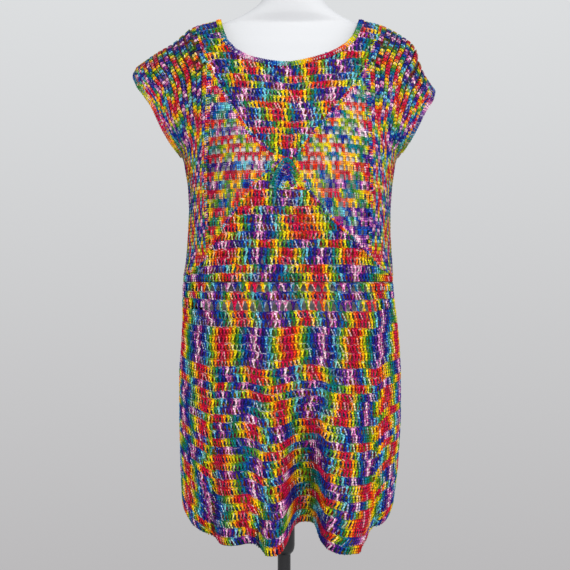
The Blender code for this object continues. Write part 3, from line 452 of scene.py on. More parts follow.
# Dye along the yarn: one repeat, in metres of row, and how far each row is shifted, in repeats
REPEAT, BODICE_REPEAT = 0.104, 0.116
RUN_STARTS = (
    1, 2, 4, 5, 6, 8, 9, 11, 12, 13, 15, 16, 18, 19, 20, 22, 23, 25, 26, 27, 29, 30, 32, 33, 34, 36, 37, 39,
)
EDGE_REPEAT, NECK_DYE = 0.28, 0.04
POOL_LOW, POOL_HIGH = 0.779, 0.838
POOL_SHIFT, POOL_DRIFT, ROW_DRIFT, RIB_DRIFT = 0.05, 0.03, 0.03, 0.03
# The skirt's rows are measured round the hip: its half width, its radius, and a quarter of its girth
HIP_HALF, HIP_ROUND, HIP_QUARTER = 0.19, 0.178, 0.28
# How the dye drifts along a row: how much, waves a metre times two pi, and a start for each run or row
STRAY_WAVES = ((0.13, 17, 1.7), (0.04, 53, 2.9))
STRAY_FINE = (0.02, 90)
SKIN_ROW, SKIN_ROW_SHIFT = 0.0124, 0.37
ROW_SHIFTS = (0.00, 0.46, 0.18, 0.72, 0.37, 0.93, 0.55, 0.12, 0.66)
YOKE_SHIFTS = (0.15, 0.22, 0.60, 0.05, 0.45, 0.83, 0.33)
MIDRIFF_SHIFTS = (0.30, 0.62, 0.98, 0.44, 0.10, 0.80)
SIDE_SHIFTS = (0.10, 0.62, 0.27, 0.85, 0.44, 0.03, 0.70, 0.33, 0.55)
NET_DYE_OUTER, NET_DYE_INNER, NET_DYE_ROW = 0.150, 0.020, 5
NET_STRAY, NET_STRAY_FINE = 0.13, 0.04
NET_DYES = {
    # for each row from NET_DYE_ROW up, the dye at the outer edge and at the inner one
    -1: (
        (0.10, 0.30), (0.30, 0.08), (0.86, 1.02), (0.64, 0.90), (0.10, -0.06), (0.50, 0.72), (0.19, -0.05),
        (0.24, 0.04), (-0.02, 0.22), (0.40, 0.76), (0.05, -0.30), (0.50, 0.18), (0.52, 0.86), (0.10, 0.30),
    ),
    1: (
        (0.52, 0.75), (0.09, 0.30), (0.33, 0.05), (0.56, 0.24), (0.04, 0.26), (0.14, -0.04), (0.32, 0.14),
        (0.30, 0.08), (0.38, 0.14), (0.46, 0.20), (0.02, 0.36), (0.12, 0.46), (-0.04, 0.10), (0.44, 0.28),
        (0.72, 0.60),
    ),
}
DYES = (
    # share of the repeat, red, green, blue
    (0.00, 0.82, 0.04, 0.32),
    (0.06, 0.76, 0.01, 0.12),
    (0.11, 0.93, 0.28, 0.03),
    (0.15, 1.00, 0.68, 0.00),
    (0.19, 0.97, 0.88, 0.05),
    (0.24, 0.42, 0.62, 0.02),
    (0.28, 0.00, 0.44, 0.20),
    (0.33, 0.00, 0.50, 0.58),
    (0.37, 0.00, 0.22, 0.66),
    (0.42, 0.05, 0.04, 0.46),
    (0.47, 0.40, 0.12, 0.58),
    (0.50, 0.92, 0.50, 0.76),
    (0.53, 1.00, 0.90, 0.93),
    (0.555, 0.80, 0.24, 0.56),
    (0.59, 0.28, 0.06, 0.48),
    (0.65, 0.02, 0.06, 0.52),
    (0.70, 0.00, 0.36, 0.74),
    (0.73, 0.50, 0.86, 0.90),
    (0.77, 0.00, 0.46, 0.28),
    (0.81, 0.45, 0.64, 0.02),
    (0.85, 1.00, 0.88, 0.04),
    (0.90, 0.98, 0.52, 0.02),
    (0.94, 0.74, 0.01, 0.10),
    (1.00, 0.82, 0.04, 0.32),
)

# The yarn's look: how many strands are paler and how much, the colour they go to, specks, sheen and bumps.
# The paler strands are partly pale flecks in the yarn and partly painted highlights
PALE_FROM, PALE_MOST, PALE_COLOUR = 0.80, 0.50, (0.93, 0.90, 0.90, 1)
SPECK_SCALE, SPECK_DETAIL, SPECK_DARK, SPECK_LIGHT = 900, 2, 0.70, 1.20
YARN_ROUGHNESS, YARN_SHEEN, BUMP_STRENGTH, BUMP_DISTANCE = 0.60, 0.15, 0.45, 0.0004
PLAIN_FINISHES = {
    # linear colour, roughness
    "form_cover": ((0.63, 0.64, 0.66), 0.62),
    "stand_black": ((0.012, 0.012, 0.014), 0.38),
    "floor": ((0.55, 0.55, 0.56), 0.85),
}

# Light and camera
AIR_LOW, AIR_HIGH, AIR_SPREAD = (0.735, 0.73, 0.735), (0.865, 0.872, 0.878), 0.30
FLOOR_RADIUS, FLOOR_DROP = 0.85, 0.0005
LIGHTS = (
    # name, place, aim, size, power, colour
    ("window", (0.45, -2.5, 1.9), (0.0, 0.0, 1.0), 0.8, 46.0, (1.0, 0.99, 0.97)),
    ("fill", (1.9, -1.8, 1.6), (0.0, 0.0, 0.9), 1.6, 9.0, (0.95, 0.97, 1.0)),
)
CAMERA_AT = (DRESS_X - 0.0085, -1.5, 0.90)
CAMERA_LENS = 55.7


def column(table, index):
    return np.array([row[index] for row in table])


def blend(values, table, index):
    return np.interp(values, column(table, 0), column(table, index))


def by_side(u, left, right):
    return np.where(u < 0, left, right)


def bodice_frame(u, rise):
    """Half width of the cloth and share of the side curve, for columns u at a share of their height."""
    tip_z = by_side(u, SLEEVE_TIP_LEFT[1], SLEEVE_TIP_RIGHT[1])
    side_z = WAIST_Z + (tip_z - WAIST_Z) * rise
    half = by_side(u, blend(side_z, BODICE_SIDES, 1), blend(side_z, BODICE_SIDES, 2))
    under = (UNDERARM_Z - WAIST_Z) / (tip_z - WAIST_Z)
    sleeve = np.clip((rise - under) / (1 - under), 0, 1)
    return half, 1 - SLEEVE_SPREAD * np.sin(np.clip(sleeve / SLEEVE_OPEN_BY, 0, 1) * math.pi / 2)


def column_height(u):
    """Height from the waist to the shoulder line of the columns u, and where their roll starts."""
    across = np.abs(u) * by_side(u, SLEEVE_TIP_LEFT[0], SLEEVE_TIP_RIGHT[0])
    top = by_side(u, blend(across, SHOULDER_LEFT, 1), blend(across, SHOULDER_RIGHT, 1))
    roll = ROLL_AT_NECK + (ROLL_AT_SLEEVE - ROLL_AT_NECK) * np.abs(u)
    return top - WAIST_Z, 1 - roll / (top - WAIST_Z)


def bodice(face):
    """The bodice's middle surface on one face: u from -1 to 1 across, v from 0 at the waist to 1 on top."""

    def surface(uv):
        u, v = np.asarray(uv, float).T
        height, start = column_height(u)
        turn = np.clip((v - ROLL_FROM) / (1 - ROLL_FROM), 0, 1) * math.pi / 2
        rise = np.where(v < ROLL_FROM, v / ROLL_FROM * start, start + (1 - start) * np.sin(turn))
        z = WAIST_Z + height * rise
        half, spread = bodice_frame(u, rise)
        x = u * half
        curve = np.clip(1 - (spread * np.abs(u)) ** ROUNDNESS, 0, 1) ** (1 / ROUNDNESS)
        depth = blend(z, BODICE_DEPTHS, 1 if face == FRONT else 2)
        if face == FRONT:
            tall = np.where(z > BUST_Z, BUST_SPREAD_UP, BUST_SPREAD_DOWN)
            away = ((np.abs(x) - BUST_X) / BUST_SPREAD_X) ** 2 + ((z - BUST_Z) / tall) ** 2
            fade = np.clip((z - WAIST_Z) / BUST_FADE, 0, 1)
            depth = depth + BUST_RISE * np.exp(-away) * fade
        y = face * depth * curve * np.cos(turn)
        return np.stack([x, y, z], 1)

    return surface


def bodice_places(x, z):
    """The (u, v) points of the bodice that are seen at x and z from the front."""
    x, z = np.broadcast_arrays(np.asarray(x, float), np.asarray(z, float))
    u = np.clip(x / PLACE_START, -1, 1)
    for _ in range(PLACE_ROUNDS):
        height, start = column_height(u)
        rise = np.clip((z - WAIST_Z) / height, 0, 1)
        u = (u + np.clip(x / bodice_frame(u, rise)[0], -1, 1)) / 2
    turn = np.arcsin(np.clip((rise - start) / (1 - start), 0, 1)) / (math.pi / 2)
    v = np.where(rise < start, rise / start * ROLL_FROM, ROLL_FROM + (1 - ROLL_FROM) * turn)
    return np.stack([u, v], -1)


def bodice_place(x, z):
    """The (u, v) of one point of the bodice."""
    return tuple(float(a) for a in bodice_places(x, z))


def fold_depth(x, z, folds):
    """How far the folds push the skirt inwards at x and z."""
    total = np.zeros_like(x)
    for at_hem, at_top, half, depth, top, square in folds:
        grown = np.clip((top - z) / (top - HEM_Z), 0, FOLD_END)
        centre = at_top + (at_hem - at_top) * grown
        shape = np.exp(-np.abs((x - centre) / half) ** square)
        total += depth * grown**FOLD_GROWTH * shape
    return total


def skirt_ring(face, w):
    """One ring of the skirt at w, 0 at the hem and 1 at the waist, evenly spaced from left to right."""
    turn = np.linspace(-math.pi / 2, math.pi / 2, RING_POINTS)
    across = np.sin(turn)
    lowest = blend(across * HEM_HALF, HEM_HEIGHTS, 1 if face == FRONT else 2)
    z = lowest + (WAIST_Z - lowest) * w
    half = by_side(across, blend(z, SKIRT_SECTIONS, 1), blend(z, SKIRT_SECTIONS, 2))
    x = across * half
    curve = np.clip(1 - np.abs(across) ** ROUNDNESS, 0, 1) ** (1 / ROUNDNESS)
    depth = blend(z, SKIRT_SECTIONS, 3 if face == FRONT else 4)
    inward = fold_depth(x, z, FRONT_FOLDS if face == FRONT else BACK_FOLDS)
    ring = np.stack([x, face * (depth - inward) * curve, z], 1)
    along = lengths_along(ring)
    even = np.linspace(0, along[-1], TABLE_COLUMNS)
    return np.stack([np.interp(even, along, ring[:, k]) for k in range(3)], 1)


def skirt(face):
    """The skirt's middle surface on one face: s from 0 at the left to 1, w from 0 at the hem to 1."""
    table = np.stack([skirt_ring(face, w) for w in np.linspace(0, 1, TABLE_ROWS)])

    def surface(uv):
        s, w = np.asarray(uv, float).T
        a = np.clip(w, 0, 1) * (TABLE_ROWS - 1)
        b = np.clip(s, 0, 1) * (TABLE_COLUMNS - 1)
        i = np.minimum(a.astype(int), TABLE_ROWS - 2)
        j = np.minimum(b.astype(int), TABLE_COLUMNS - 2)
        p, q = (a - i)[:, None], (b - j)[:, None]
        low = table[i, j] * (1 - q) + table[i, j + 1] * q
        high = table[i + 1, j] * (1 - q) + table[i + 1, j + 1] * q
        return low * (1 - p) + high * p

    return surface


def normals(surface, uv, corners, face):
    """Outward normals by small steps that stay between the corners of the surface."""
    uv = np.asarray(uv, float)
    low, high = corners
    step = 2e-3
    ends = []
    for k in range(2):
        up, down = uv.copy(), uv.copy()
        up[:, k] = np.minimum(uv[:, k] + step, high[k])
        down[:, k] = np.maximum(uv[:, k] - step, low[k])
        ends.append(surface(up) - surface(down))
    n = np.cross(ends[0], ends[1]) * (-face)
    return n / np.linalg.norm(n, axis=1)[:, None]


def lengths_along(line):
    """How far along a line of points each of them is."""
    return np.concatenate([[0], np.cumsum(np.linalg.norm(np.diff(line, axis=0), axis=1))])


def between(values):
    """The middle of each value and the next one."""
    return (values[:-1] + values[1:]) / 2


def unbroken(index):
    """The indices in groups that leave none out."""
    return np.split(index, np.where(np.diff(index) > 1)[0] + 1)


def points_at(across, level):
    """The (u, v) points at the places across, all at one level or each at its own."""
    return np.stack([across, np.broadcast_to(level, np.shape(across))], 1)


def curve_point(a, b, c, d, t):
    """The point at share t between b and c on a smooth curve that comes from a and goes on to d."""
    return 0.5 * (2 * b + (c - a) * t + (2 * a - 5 * b + 4 * c - d) * t**2 + (3 * b - a - 3 * c + d) * t**3)


def smooth_path(points, step):
    """Points along a smooth curve through the given ones, which it keeps, about step apart."""
    points = np.array(points, float)
    padded = np.vstack([2 * points[0] - points[1], points, 2 * points[-1] - points[-2]])
    path = [points[0]]
    for i in range(1, len(points)):
        corners = padded[i - 1:i + 3]
        count = max(1, round(float(np.linalg.norm(corners[2] - corners[1])) / step))
        path += [curve_point(*corners, t) for t in np.linspace(0, 1, count + 1)[1:]]
    return path


def straight(start, end, steps):
    """Points from start to end in even steps."""
    start, end = np.array(start), np.array(end)
    return [tuple(start + (end - start) * t) for t in np.linspace(0, 1, steps + 1)]


def open_run(points, step):
    """An open line of points with more added between them, so that no two are far apart."""
    found = []
    for a, b in zip(points, points[1:]):
        apart = float(np.linalg.norm((np.array(b) - np.array(a)) * FLAT_MAP))
        found += straight(a, b, max(1, math.ceil(apart / step)))[:-1]
    return found + [tuple(points[-1])]


def finer(outline, step):
    """A closed outline with points added in the same way."""
    return open_run(outline + outline[:1], step)[:-1]


def seam(points):
    """A seam of the front bodice as (u, v) points."""
    return [bodice_place(x, z) for x, z in smooth_path(points, OUTLINE_STEP)]


def shoulder_run(from_x, to_x):
    """The (u, v) points along the shoulder line between two distances across, on one side."""
    tip = SLEEVE_TIP[-1 if min(from_x, to_x) < 0 else 1][0]
    count = max(1, round(abs(to_x - from_x) / OUTLINE_STEP))
    return [(x / tip, 1.0) for x in np.linspace(from_x, to_x, count + 1)]


def side_run(side, z_from, z_to):
    """The (u, v) points along the side seam or sleeve edge between two heights."""
    tip = SLEEVE_TIP[side][1]
    height, start = (float(a[0]) for a in column_height(np.array([float(side)])))
    ends = []
    for z in (z_from, z_to):
        rise = min((z - WAIST_Z) / height, 1)
        turn = math.asin(min(max((rise - start) / (1 - start), 0), 1)) / (math.pi / 2)
        ends.append(rise / start * ROLL_FROM if rise < start else ROLL_FROM + (1 - ROLL_FROM) * turn)
    count = max(1, round(abs(min(z_to, tip) - z_from) / OUTLINE_STEP))
    return [(float(side), v) for v in np.linspace(ends[0], ends[1], count + 1)]


def neckline_run(face):
    """The (u, v) points along the neckline from the left shoulder to the right one."""
    turns = np.linspace(-math.pi / 2, math.pi / 2, NECK_POINTS)
    run = []
    for turn in turns[1:-1]:
        x = NECK_HALF * math.sin(turn)
        index = 3 if face == BACK else 1 if x < 0 else 2
        run.append(bodice_place(x, float(blend(abs(x), NECKLINE, index))))
    left, right = -NECK_HALF / SLEEVE_TIP_LEFT[0], NECK_HALF / SLEEVE_TIP_RIGHT[0]
    return [(left, 1.0), *run, (right, 1.0)]


def joined(*runs):
    """The runs put end to end as one loop, without their repeated ends."""
    loop = []
    for run in runs:
        for point in run:
            if not loop or math.dist(point, loop[-1]) > 1e-6:
                loop.append(tuple(point))
    return loop[:-1] if math.dist(loop[0], loop[-1]) < 1e-6 else loop


def in_loop(points, loop):
    """Which of the points of the plane lie in a closed loop."""
    points = np.asarray(points, float)
    found = np.zeros(len(points), bool)
    for (ax, ay), (bx, by) in zip(loop, loop[1:] + loop[:1]):
        spans = (ay > points[:, 1]) != (by > points[:, 1])
        if ay == by:
            continue
        cut = points[:, 0] < ax + (points[:, 1] - ay) / (by - ay) * (bx - ax)
        found ^= spans & cut
    return found


def distance_to(point, loop):
    """How far a point of the plane is from a closed loop."""
    a = np.array(loop)
    along = np.roll(a, -1, axis=0) - a
    t = np.clip(((point - a) * along).sum(1) / np.maximum((along**2).sum(1), 1e-18), 0, 1)
    return float(np.min(np.linalg.norm(a + t[:, None] * along - point, axis=1)))


def triangulate(outline, holes, inner):
    """Triangles over the outline without its holes, using every given point of the flat map."""
    coords = [Vector(p) for p in outline]
    edges = [(i, (i + 1) % len(outline)) for i in range(len(outline))]
    for hole in holes:
        first = len(coords)
        coords += [Vector(p) for p in hole]
        edges += [(first + i, first + (i + 1) % len(hole)) for i in range(len(hole))]
    coords += [Vector(p) for p in inner]
    _, _, faces, origins, _, _ = delaunay_2d_cdt(coords, edges, [], 0, 1e-7, True)
    faces = [[origins[i][0] for i in face] for face in faces]
    fences = {frozenset(edge) for edge in edges}
    sides = {}
    for index, face in enumerate(faces):
        for a, b in zip(face, face[1:] + face[:1]):
            sides.setdefault(frozenset((a, b)), []).append(index)
    kept = {}
    todo = [(owners[0], edge in fences) for edge, owners in sides.items() if len(owners) == 1]
    while todo:
        index, cloth = todo.pop()
        if index in kept:
            continue
        kept[index] = cloth
        face = faces[index]
        for a, b in zip(face, face[1:] + face[:1]):
            edge = frozenset((a, b))
            todo += [(other, cloth != (edge in fences)) for other in sides[edge] if other not in kept]
    return [face for index, face in enumerate(faces) if kept[index]]


def laid_flat(points, scale=FLAT_MAP):
    """The (u, v) points in metres on the flat map."""
    return [tuple(np.array(p) * scale) for p in points]


def clear_of_edge(points, outline, clear):
    """Which of the (u, v) points lie inside the outline and at least that far from it."""
    flat, spots = laid_flat(outline), laid_flat(points)
    within = in_loop(spots, flat)
    return [i for i, p in enumerate(spots) if within[i] and distance_to(np.array(p), flat) > clear]


def plain_grid(outline, step):
    """Points of an even grid inside the outline and clear of it."""
    across = np.arange(step / 2 - FLAT_MAP[0], FLAT_MAP[0], step) / FLAT_MAP[0]
    up = np.arange(step / 2, FLAT_MAP[1], step) / FLAT_MAP[1]
    points = [(u, v) for u in across for v in up]
    return [points[i] for i in clear_of_edge(points, outline, step * GRID_CLEAR)]


class Yarn:
    """Collects the strands of many stitches, with a place along the dyed yarn for each point."""

    def __init__(self, plies=PLIES, chain_rings=2):
        self.plies, self.chain_rings = plies, chain_rings
        self.points, self.faces, self.places, self.tints, self.glows = [], [], [], [], []
        self.count = 0

    def strands(self, path, out, wide, deep, place, tint, twist=0.0, glow=1.0):
        """Tubes through path, an array of strand, ring, axis. wide and deep hold a half size for each ring.

        The last argument says how light each ring is painted: what lies deeper in the cloth is painted
        darker, as shade, and what stands out is painted lighter.
        """
        path = np.asarray(path, float)
        if not len(path):
            return
        total, rings = path.shape[:2]
        sides = TUBE_SIDES
        way = unit(np.gradient(path, axis=1))
        side = unit(np.cross(way, np.broadcast_to(out[:, None, :], path.shape)))
        front = np.cross(side, way)
        turn = 2 * math.pi * np.arange(sides) / sides + math.pi / 4
        turn = turn[None, :] + twist * np.linspace(0, 1, rings)[:, None]
        wide = np.broadcast_to(wide, (total, rings))[..., None, None]
        deep = np.broadcast_to(deep, (total, rings))[..., None, None]
        ring = side[:, :, None] * np.cos(turn)[None, ..., None] * wide
        ring = ring + front[:, :, None] * np.sin(turn)[None, ..., None] * deep
        points = path[:, :, None] + ring
        start = self.count + np.arange(total)[:, None, None] * rings * sides
        low = start + np.arange(rings - 1)[None, :, None] * sides
        here, after = np.arange(sides), (np.arange(sides) + 1) % sides
        quads = np.stack([low + here, low + sides + here, low + sides + after, low + after], -1)
        self.points.append(points.reshape(-1, 3))
        self.faces.append(quads.reshape(-1, 4))
        place = np.broadcast_to(np.asarray(place, float).reshape(total, -1), (total, rings))
        self.places.append(np.repeat(place.reshape(-1), sides))
        self.tints.append(np.repeat(np.asarray(tint, float), rings * sides))
        # Each strand is painted lighter on its outward side and painted in shade on its inward side
        lit = (TUBE_DARK + TUBE_LIGHT * np.sin(turn))[None]
        self.glows.append((np.broadcast_to(glow, (total, rings))[..., None] * lit).reshape(-1))
        self.count += total * rings * sides

    def make(self, name, finish="crochet_yarn"):
        """One object of all the strands so far."""
        points, faces = np.concatenate(self.points), np.concatenate(self.faces)
        mesh = bpy.data.meshes.new(name)
        mesh.vertices.add(len(points))
        mesh.vertices.foreach_set("co", (points + (DRESS_X, 0, 0)).astype(np.float32).ravel())
        mesh.loops.add(faces.size)
        mesh.loops.foreach_set("vertex_index", faces.astype(np.int32).ravel())
        mesh.polygons.add(len(faces))
        mesh.polygons.foreach_set("loop_start", np.arange(0, faces.size, 4, dtype=np.int32))
        mesh.update(calc_edges=True)
        set_values(mesh, place=np.concatenate(self.places), tint=np.concatenate(self.tints),
                   glow=np.concatenate(self.glows))
        mesh.shade_smooth()
        mesh.materials.append(material(finish))
        return linked(name, mesh)


def unit(vectors):
    """The vectors at a length of one."""
    return vectors / np.maximum(np.linalg.norm(vectors, axis=-1), 1e-12)[..., None]


def linked(name, data):
    """A new object of the scene that holds a mesh, a lamp or a camera."""
    made = bpy.data.objects.new(name, data)
    bpy.context.scene.collection.objects.link(made)
    return made


def set_values(mesh, **values):
    """Gives every point of the mesh a number under each name."""
    for label, numbers in values.items():
        layer = mesh.attributes.new(label, "FLOAT", "POINT")
        layer.data.foreach_set("value", numbers.astype(np.float32))


def another(values, factor):
    """A second set of even random values made from a first one. Each factor gives a set of its own."""
    return (np.asarray(values) * factor) % 1


def stitch_row(yarn, foot, head, up, place, tint, size=1.0, cross=PLY_CROSS, bow=POST_BOW, light=1.0):
    """Tall stitches from foot to head. Each is a lumpy ply over a deeper one that leans the other way."""
    if not len(foot):
        return
    along = unit(np.cross(up, head - foot))
    lean = (another(tint, 17.3) - 0.5) * STITCH_JITTER
    slip = (another(tint, 29.1) - 0.5) * STITCH_JITTER
    # The painted light of each stitch: light scales it, and it differs at random from stitch to stitch
    shade = light * (SHADE_FROM + SHADE_SPREAD * another(tint, 53.9))
    size = size * (SIZE_FROM + SIZE_SPREAD * another(tint, 83.3))[:, None]
    for over, wide, rise, swell, glow in yarn.plies:
        t = np.linspace(0, 1, len(swell))
        middle = foot[:, None] * (1 - t)[None, :, None] + head[:, None] * t[None, :, None]
        middle = middle + along[:, None] * (slip[:, None] + lean[:, None] * (t - 0.5))[..., None]
        path = middle + along[:, None] * (over * cross * (2 * t - 1))[None, :, None]
        path = path + up[:, None] * (bow * np.sin(math.pi * t) + rise)[None, :, None]
        places = np.asarray(place)[:, None] + PLY_WAVE * np.sin(math.pi * 3 * t)[None, :] + PLY_STEP * over
        places = places + (another(tint, 41.7) - 0.5)[:, None] * PLACE_JITTER
        swell = np.array(swell)[None] * size
        yarn.strands(path, up, wide * swell, PLY_DEEP * swell, places, another(tint, 7.7 + over),
                     twist=PLY_TWIST * over, glow=np.array(glow)[None] * shade[:, None])


def chain_row(yarn, path, up, place, tint, high=CHAIN_HIGH, deep=CHAIN_DEEP, rise=CHAIN_RISE):
    """The chain along the top of a row: two strands a stitch that make a V lying on its side."""
    path = np.asarray(path, float)
    along = unit(np.diff(path, axis=0))
    reach = along * np.linalg.norm(np.diff(path, axis=0), axis=1)[:, None] * CHAIN_REACH
    up = unit(up)
    cross = unit(np.cross(up, along))
    middle = between(path) + up * rise
    swell = np.array(CHAIN_SWELL[yarn.chain_rings])
    glow = np.array(CHAIN_PAINTED_LIGHT[yarn.chain_rings])
    for side in (-1, 1):
        start = middle - reach + cross * side * high * CHAIN_APART_START + up * CHAIN_START_UP
        end = middle + reach + cross * side * high * CHAIN_APART_END - up * CHAIN_END_DOWN
        rings = [start, (start + end) / 2 + up * CHAIN_MIDDLE_UP, end]
        shade = CHAIN_SHADE_FROM + CHAIN_SHADE_SPREAD * another(tint, 67.1 + side)
        line = np.stack(rings if yarn.chain_rings == 3 else rings[::2], 1)
        yarn.strands(line, up, high * CHAIN_WIDE * swell, deep * swell, np.asarray(place) + PLY_STEP * side,
                     another(tint, 5.3 + side), glow=glow * shade[:, None])


def noise(count, seed):
    """Even random values from 0 to 1, the same ones each time for one seed."""
    return np.random.default_rng(seed).random(count)


def run_of(row):
    """The run of dye that a row takes its colours from. One or two rows in turn are of one run."""
    return sum(start <= row for start in RUN_STARTS)


def shift_of(row, shifts):
    """How far the dye of a row is shifted, in repeats."""
    return shifts[run_of(row) % len(shifts)] + ROW_DRIFT * (row % 2)


def even_stations(line, width):
    """The edges of stations of about that width along a line, as shares of its samples, and its length."""
    along = lengths_along(line)
    count = max(1, round(along[-1] / width))
    edges = np.linspace(0, along[-1], count + 1)
    return np.interp(edges, along, np.linspace(0, 1, len(line))), along[-1]


def skirt_cloth(face):
    """The skirt's surface with its small creases."""
    return creased(skirt(face), SKIRT_CREASES_FRONT if face == FRONT else SKIRT_CREASES_BACK)


def skirt_stitches(face, label):
    """The skirt's rows, from the hem to the row of eyelets below the waist band."""
    surface = skirt_cloth(face)
    yarn = Yarn(PLIES if face == FRONT else PLAIN_PLIES)
    levels = [*np.linspace(0, SKIRT_ROWS_TOP, SKIRT_ROWS + 1), EYELET_2_TOP, BAND_FOOT]
    for row, (low, high) in enumerate(zip(levels, levels[1:])):
        add_ring_row(yarn, surface, face, low, high, high == EYELET_2_TOP, row)
    return yarn.make(f"skirt_stitches_{label}")


def ripple(across, level):
    """How far the edge of a row strays from its level, in metres. Both rows that meet there share it."""
    wave = np.sin(across * 31 + level * 91) + 0.6 * np.sin(across * 67 + level * 173)
    return RIPPLE * (wave + 0.4 * np.sin(across * 139)) / 2


def sag(across, level):
    """How far the yoke's rows hang lower towards the middle, in metres, as the neckline does."""
    middle = np.clip(1 - (across / SAG_SPREAD) ** 2, 0, 1)
    return -SAG_DEPTH * middle * np.clip((level - SAG_FROM) / SAG_RISE, 0, 1)


def add_ring_row(yarn, surface, face, low, high, is_open, row):
    """One row round the skirt between the levels low and high. An open row has eyelets between its posts."""
    middle = (low + high) / 2
    edges, length = even_stations(surface(points_at(np.linspace(0, 1, LEVEL_SAMPLES), middle)), STITCH)
    centre = between(edges)
    if is_open:
        posts = np.linspace(0, 1, EYELETS_A_SIDE + 1)[1:-1]
        apart = EYELET_POST_APART / length
        mids = np.sort(np.concatenate([posts - apart, posts + apart, [EYELET_SIDE, 1 - EYELET_SIDE]]))
        step = EYELET_POST_LEAN / length
        foot_at, head_at = np.clip(mids + np.resize([step, -step], len(mids)), 0, 1), mids
    else:
        mids = centre
        share = (ROW_SLANT if row % 2 else -ROW_SLANT) / length
        foot_at, head_at = np.clip(mids - share / 2, 0, 1), np.clip(mids + share / 2, 0, 1)
    tall = WAIST_Z - HEM_Z
    foot = surface(points_at(foot_at, np.clip(low + ripple(foot_at, low) / tall, 0, 1)))
    head = surface(points_at(head_at, high - (high - low) * HEAD_BELOW + ripple(head_at, high) / tall))
    up = normals(surface, points_at(mids, middle), SKIRT_CORNERS, face)
    place = ring_place(surface, face, mids, middle, row)
    stitch_row(yarn, foot, head, up, place, noise(len(mids), 100 * row + face + 7))
    line = surface(points_at(edges, high - (high - low) * CHAIN_BELOW + ripple(edges, high) / tall))
    up = normals(surface, points_at(centre, high), SKIRT_CORNERS, face)
    place = ring_place(surface, face, centre, high, row)
    chain_row(yarn, line, up, place, noise(len(centre), 100 * row + face + 11))


def round_the_hip(across):
    """How far round the hip from the middle of the front the points of the skirt are."""
    return np.arcsin(np.clip(across / HIP_HALF, -1, 1)) * HIP_ROUND


def ring_place(surface, face, s, w, row):
    """How far along the dyed yarn a stitch of a skirt row is. Some rows above the hip fall in step."""
    at = surface(points_at(s, w))
    turn = round_the_hip(at[:, 0])
    if face == BACK:
        turn = HIP_QUARTER * np.sign(at[:, 0] + 1e-9) * 2 - turn
    if POOL_LOW < float(at[:, 2].mean()) < POOL_HIGH:
        return turn / REPEAT + POOL_SHIFT + POOL_DRIFT * np.sin(row * 2.1) + POOL_DRIFT * np.sin(turn * 19)
    return turn * worked(row) / REPEAT + shift_of(row, ROW_SHIFTS) + stray(turn, row)


def worked(row):
    """Rows are worked to and fro, so the dye runs the other way in every second run."""
    return 1 if run_of(row) % 2 else -1


def stray(along, row):
    """How the dye drifts along a row as stitches come out larger or smaller."""
    (broad, wide, start), (small, close, begin) = STRAY_WAVES
    run = run_of(row)
    drift = broad * np.sin(along * wide + run * start) + small * np.sin(along * close + run * begin)
    return drift + STRAY_FINE[0] * np.sin(along * STRAY_FINE[1] + row)


def arc_levels(surface, u, low, high, count):
    """Levels v between low and high, evenly spaced over the cloth along the column u."""
    v = np.linspace(low, high, COLUMN_SAMPLES)
    along = lengths_along(surface(np.stack([np.full(COLUMN_SAMPLES, u), v], 1)))
    return np.interp(np.linspace(0, along[-1], count + 1), along, v)


def bodice_rows(yarn, surface, face, loop, levels, shifts, seed):
    """Rows across a bodice panel, kept inside its outline."""
    rise = FLAT_MAP[1]

    def hang_at(u, level):
        return (sag(u, level) if face == FRONT else np.zeros(len(u))) / rise

    def place_at(u, level, row):
        x = surface(points_at(u, level))[:, 0]
        return x * worked(row) / BODICE_REPEAT + shift_of(row, shifts) + stray(x, row)

    for row, (low, high) in enumerate(zip(levels, levels[1:])):
        middle = (low + high) / 2
        shares, length = even_stations(surface(points_at(np.linspace(-1, 1, LEVEL_SAMPLES), middle)), STITCH)
        edges = shares * 2 - 1
        mids = between(edges)
        hang = hang_at(mids, middle)
        keep = in_loop(points_at(mids, middle + hang), loop)
        if not keep.any():
            continue
        share = (ROW_SLANT if row % 2 else -ROW_SLANT) / length * 2
        some, hang = mids[keep], hang[keep]
        foot = surface(points_at(np.clip(some - share / 2, -1, 1),
                                 np.clip(low + ripple(some, low) / rise + hang, 0, 1)))
        top = high - (high - low) * HEAD_BELOW + ripple(some, high) / rise + hang
        head = surface(points_at(np.clip(some + share / 2, -1, 1), np.clip(top, 0, 1)))
        up = normals(surface, points_at(some, middle), BODICE_CORNERS, face)
        stitch_row(yarn, foot, head, up, place_at(some, middle, row), noise(len(some), seed + row))
        top = high - (high - low) * CHAIN_BELOW + ripple(edges, high) / rise + hang_at(edges, middle)
        line = surface(points_at(edges, np.clip(top, 0, 1)))
        up = normals(surface, points_at(mids, high), BODICE_CORNERS, face)
        for run in unbroken(np.where(keep)[0]):
            chain_row(yarn, line[run[0]:run[-1] + 2], up[run], place_at(mids[run], high, row),
                      noise(len(run), seed + row + 500))


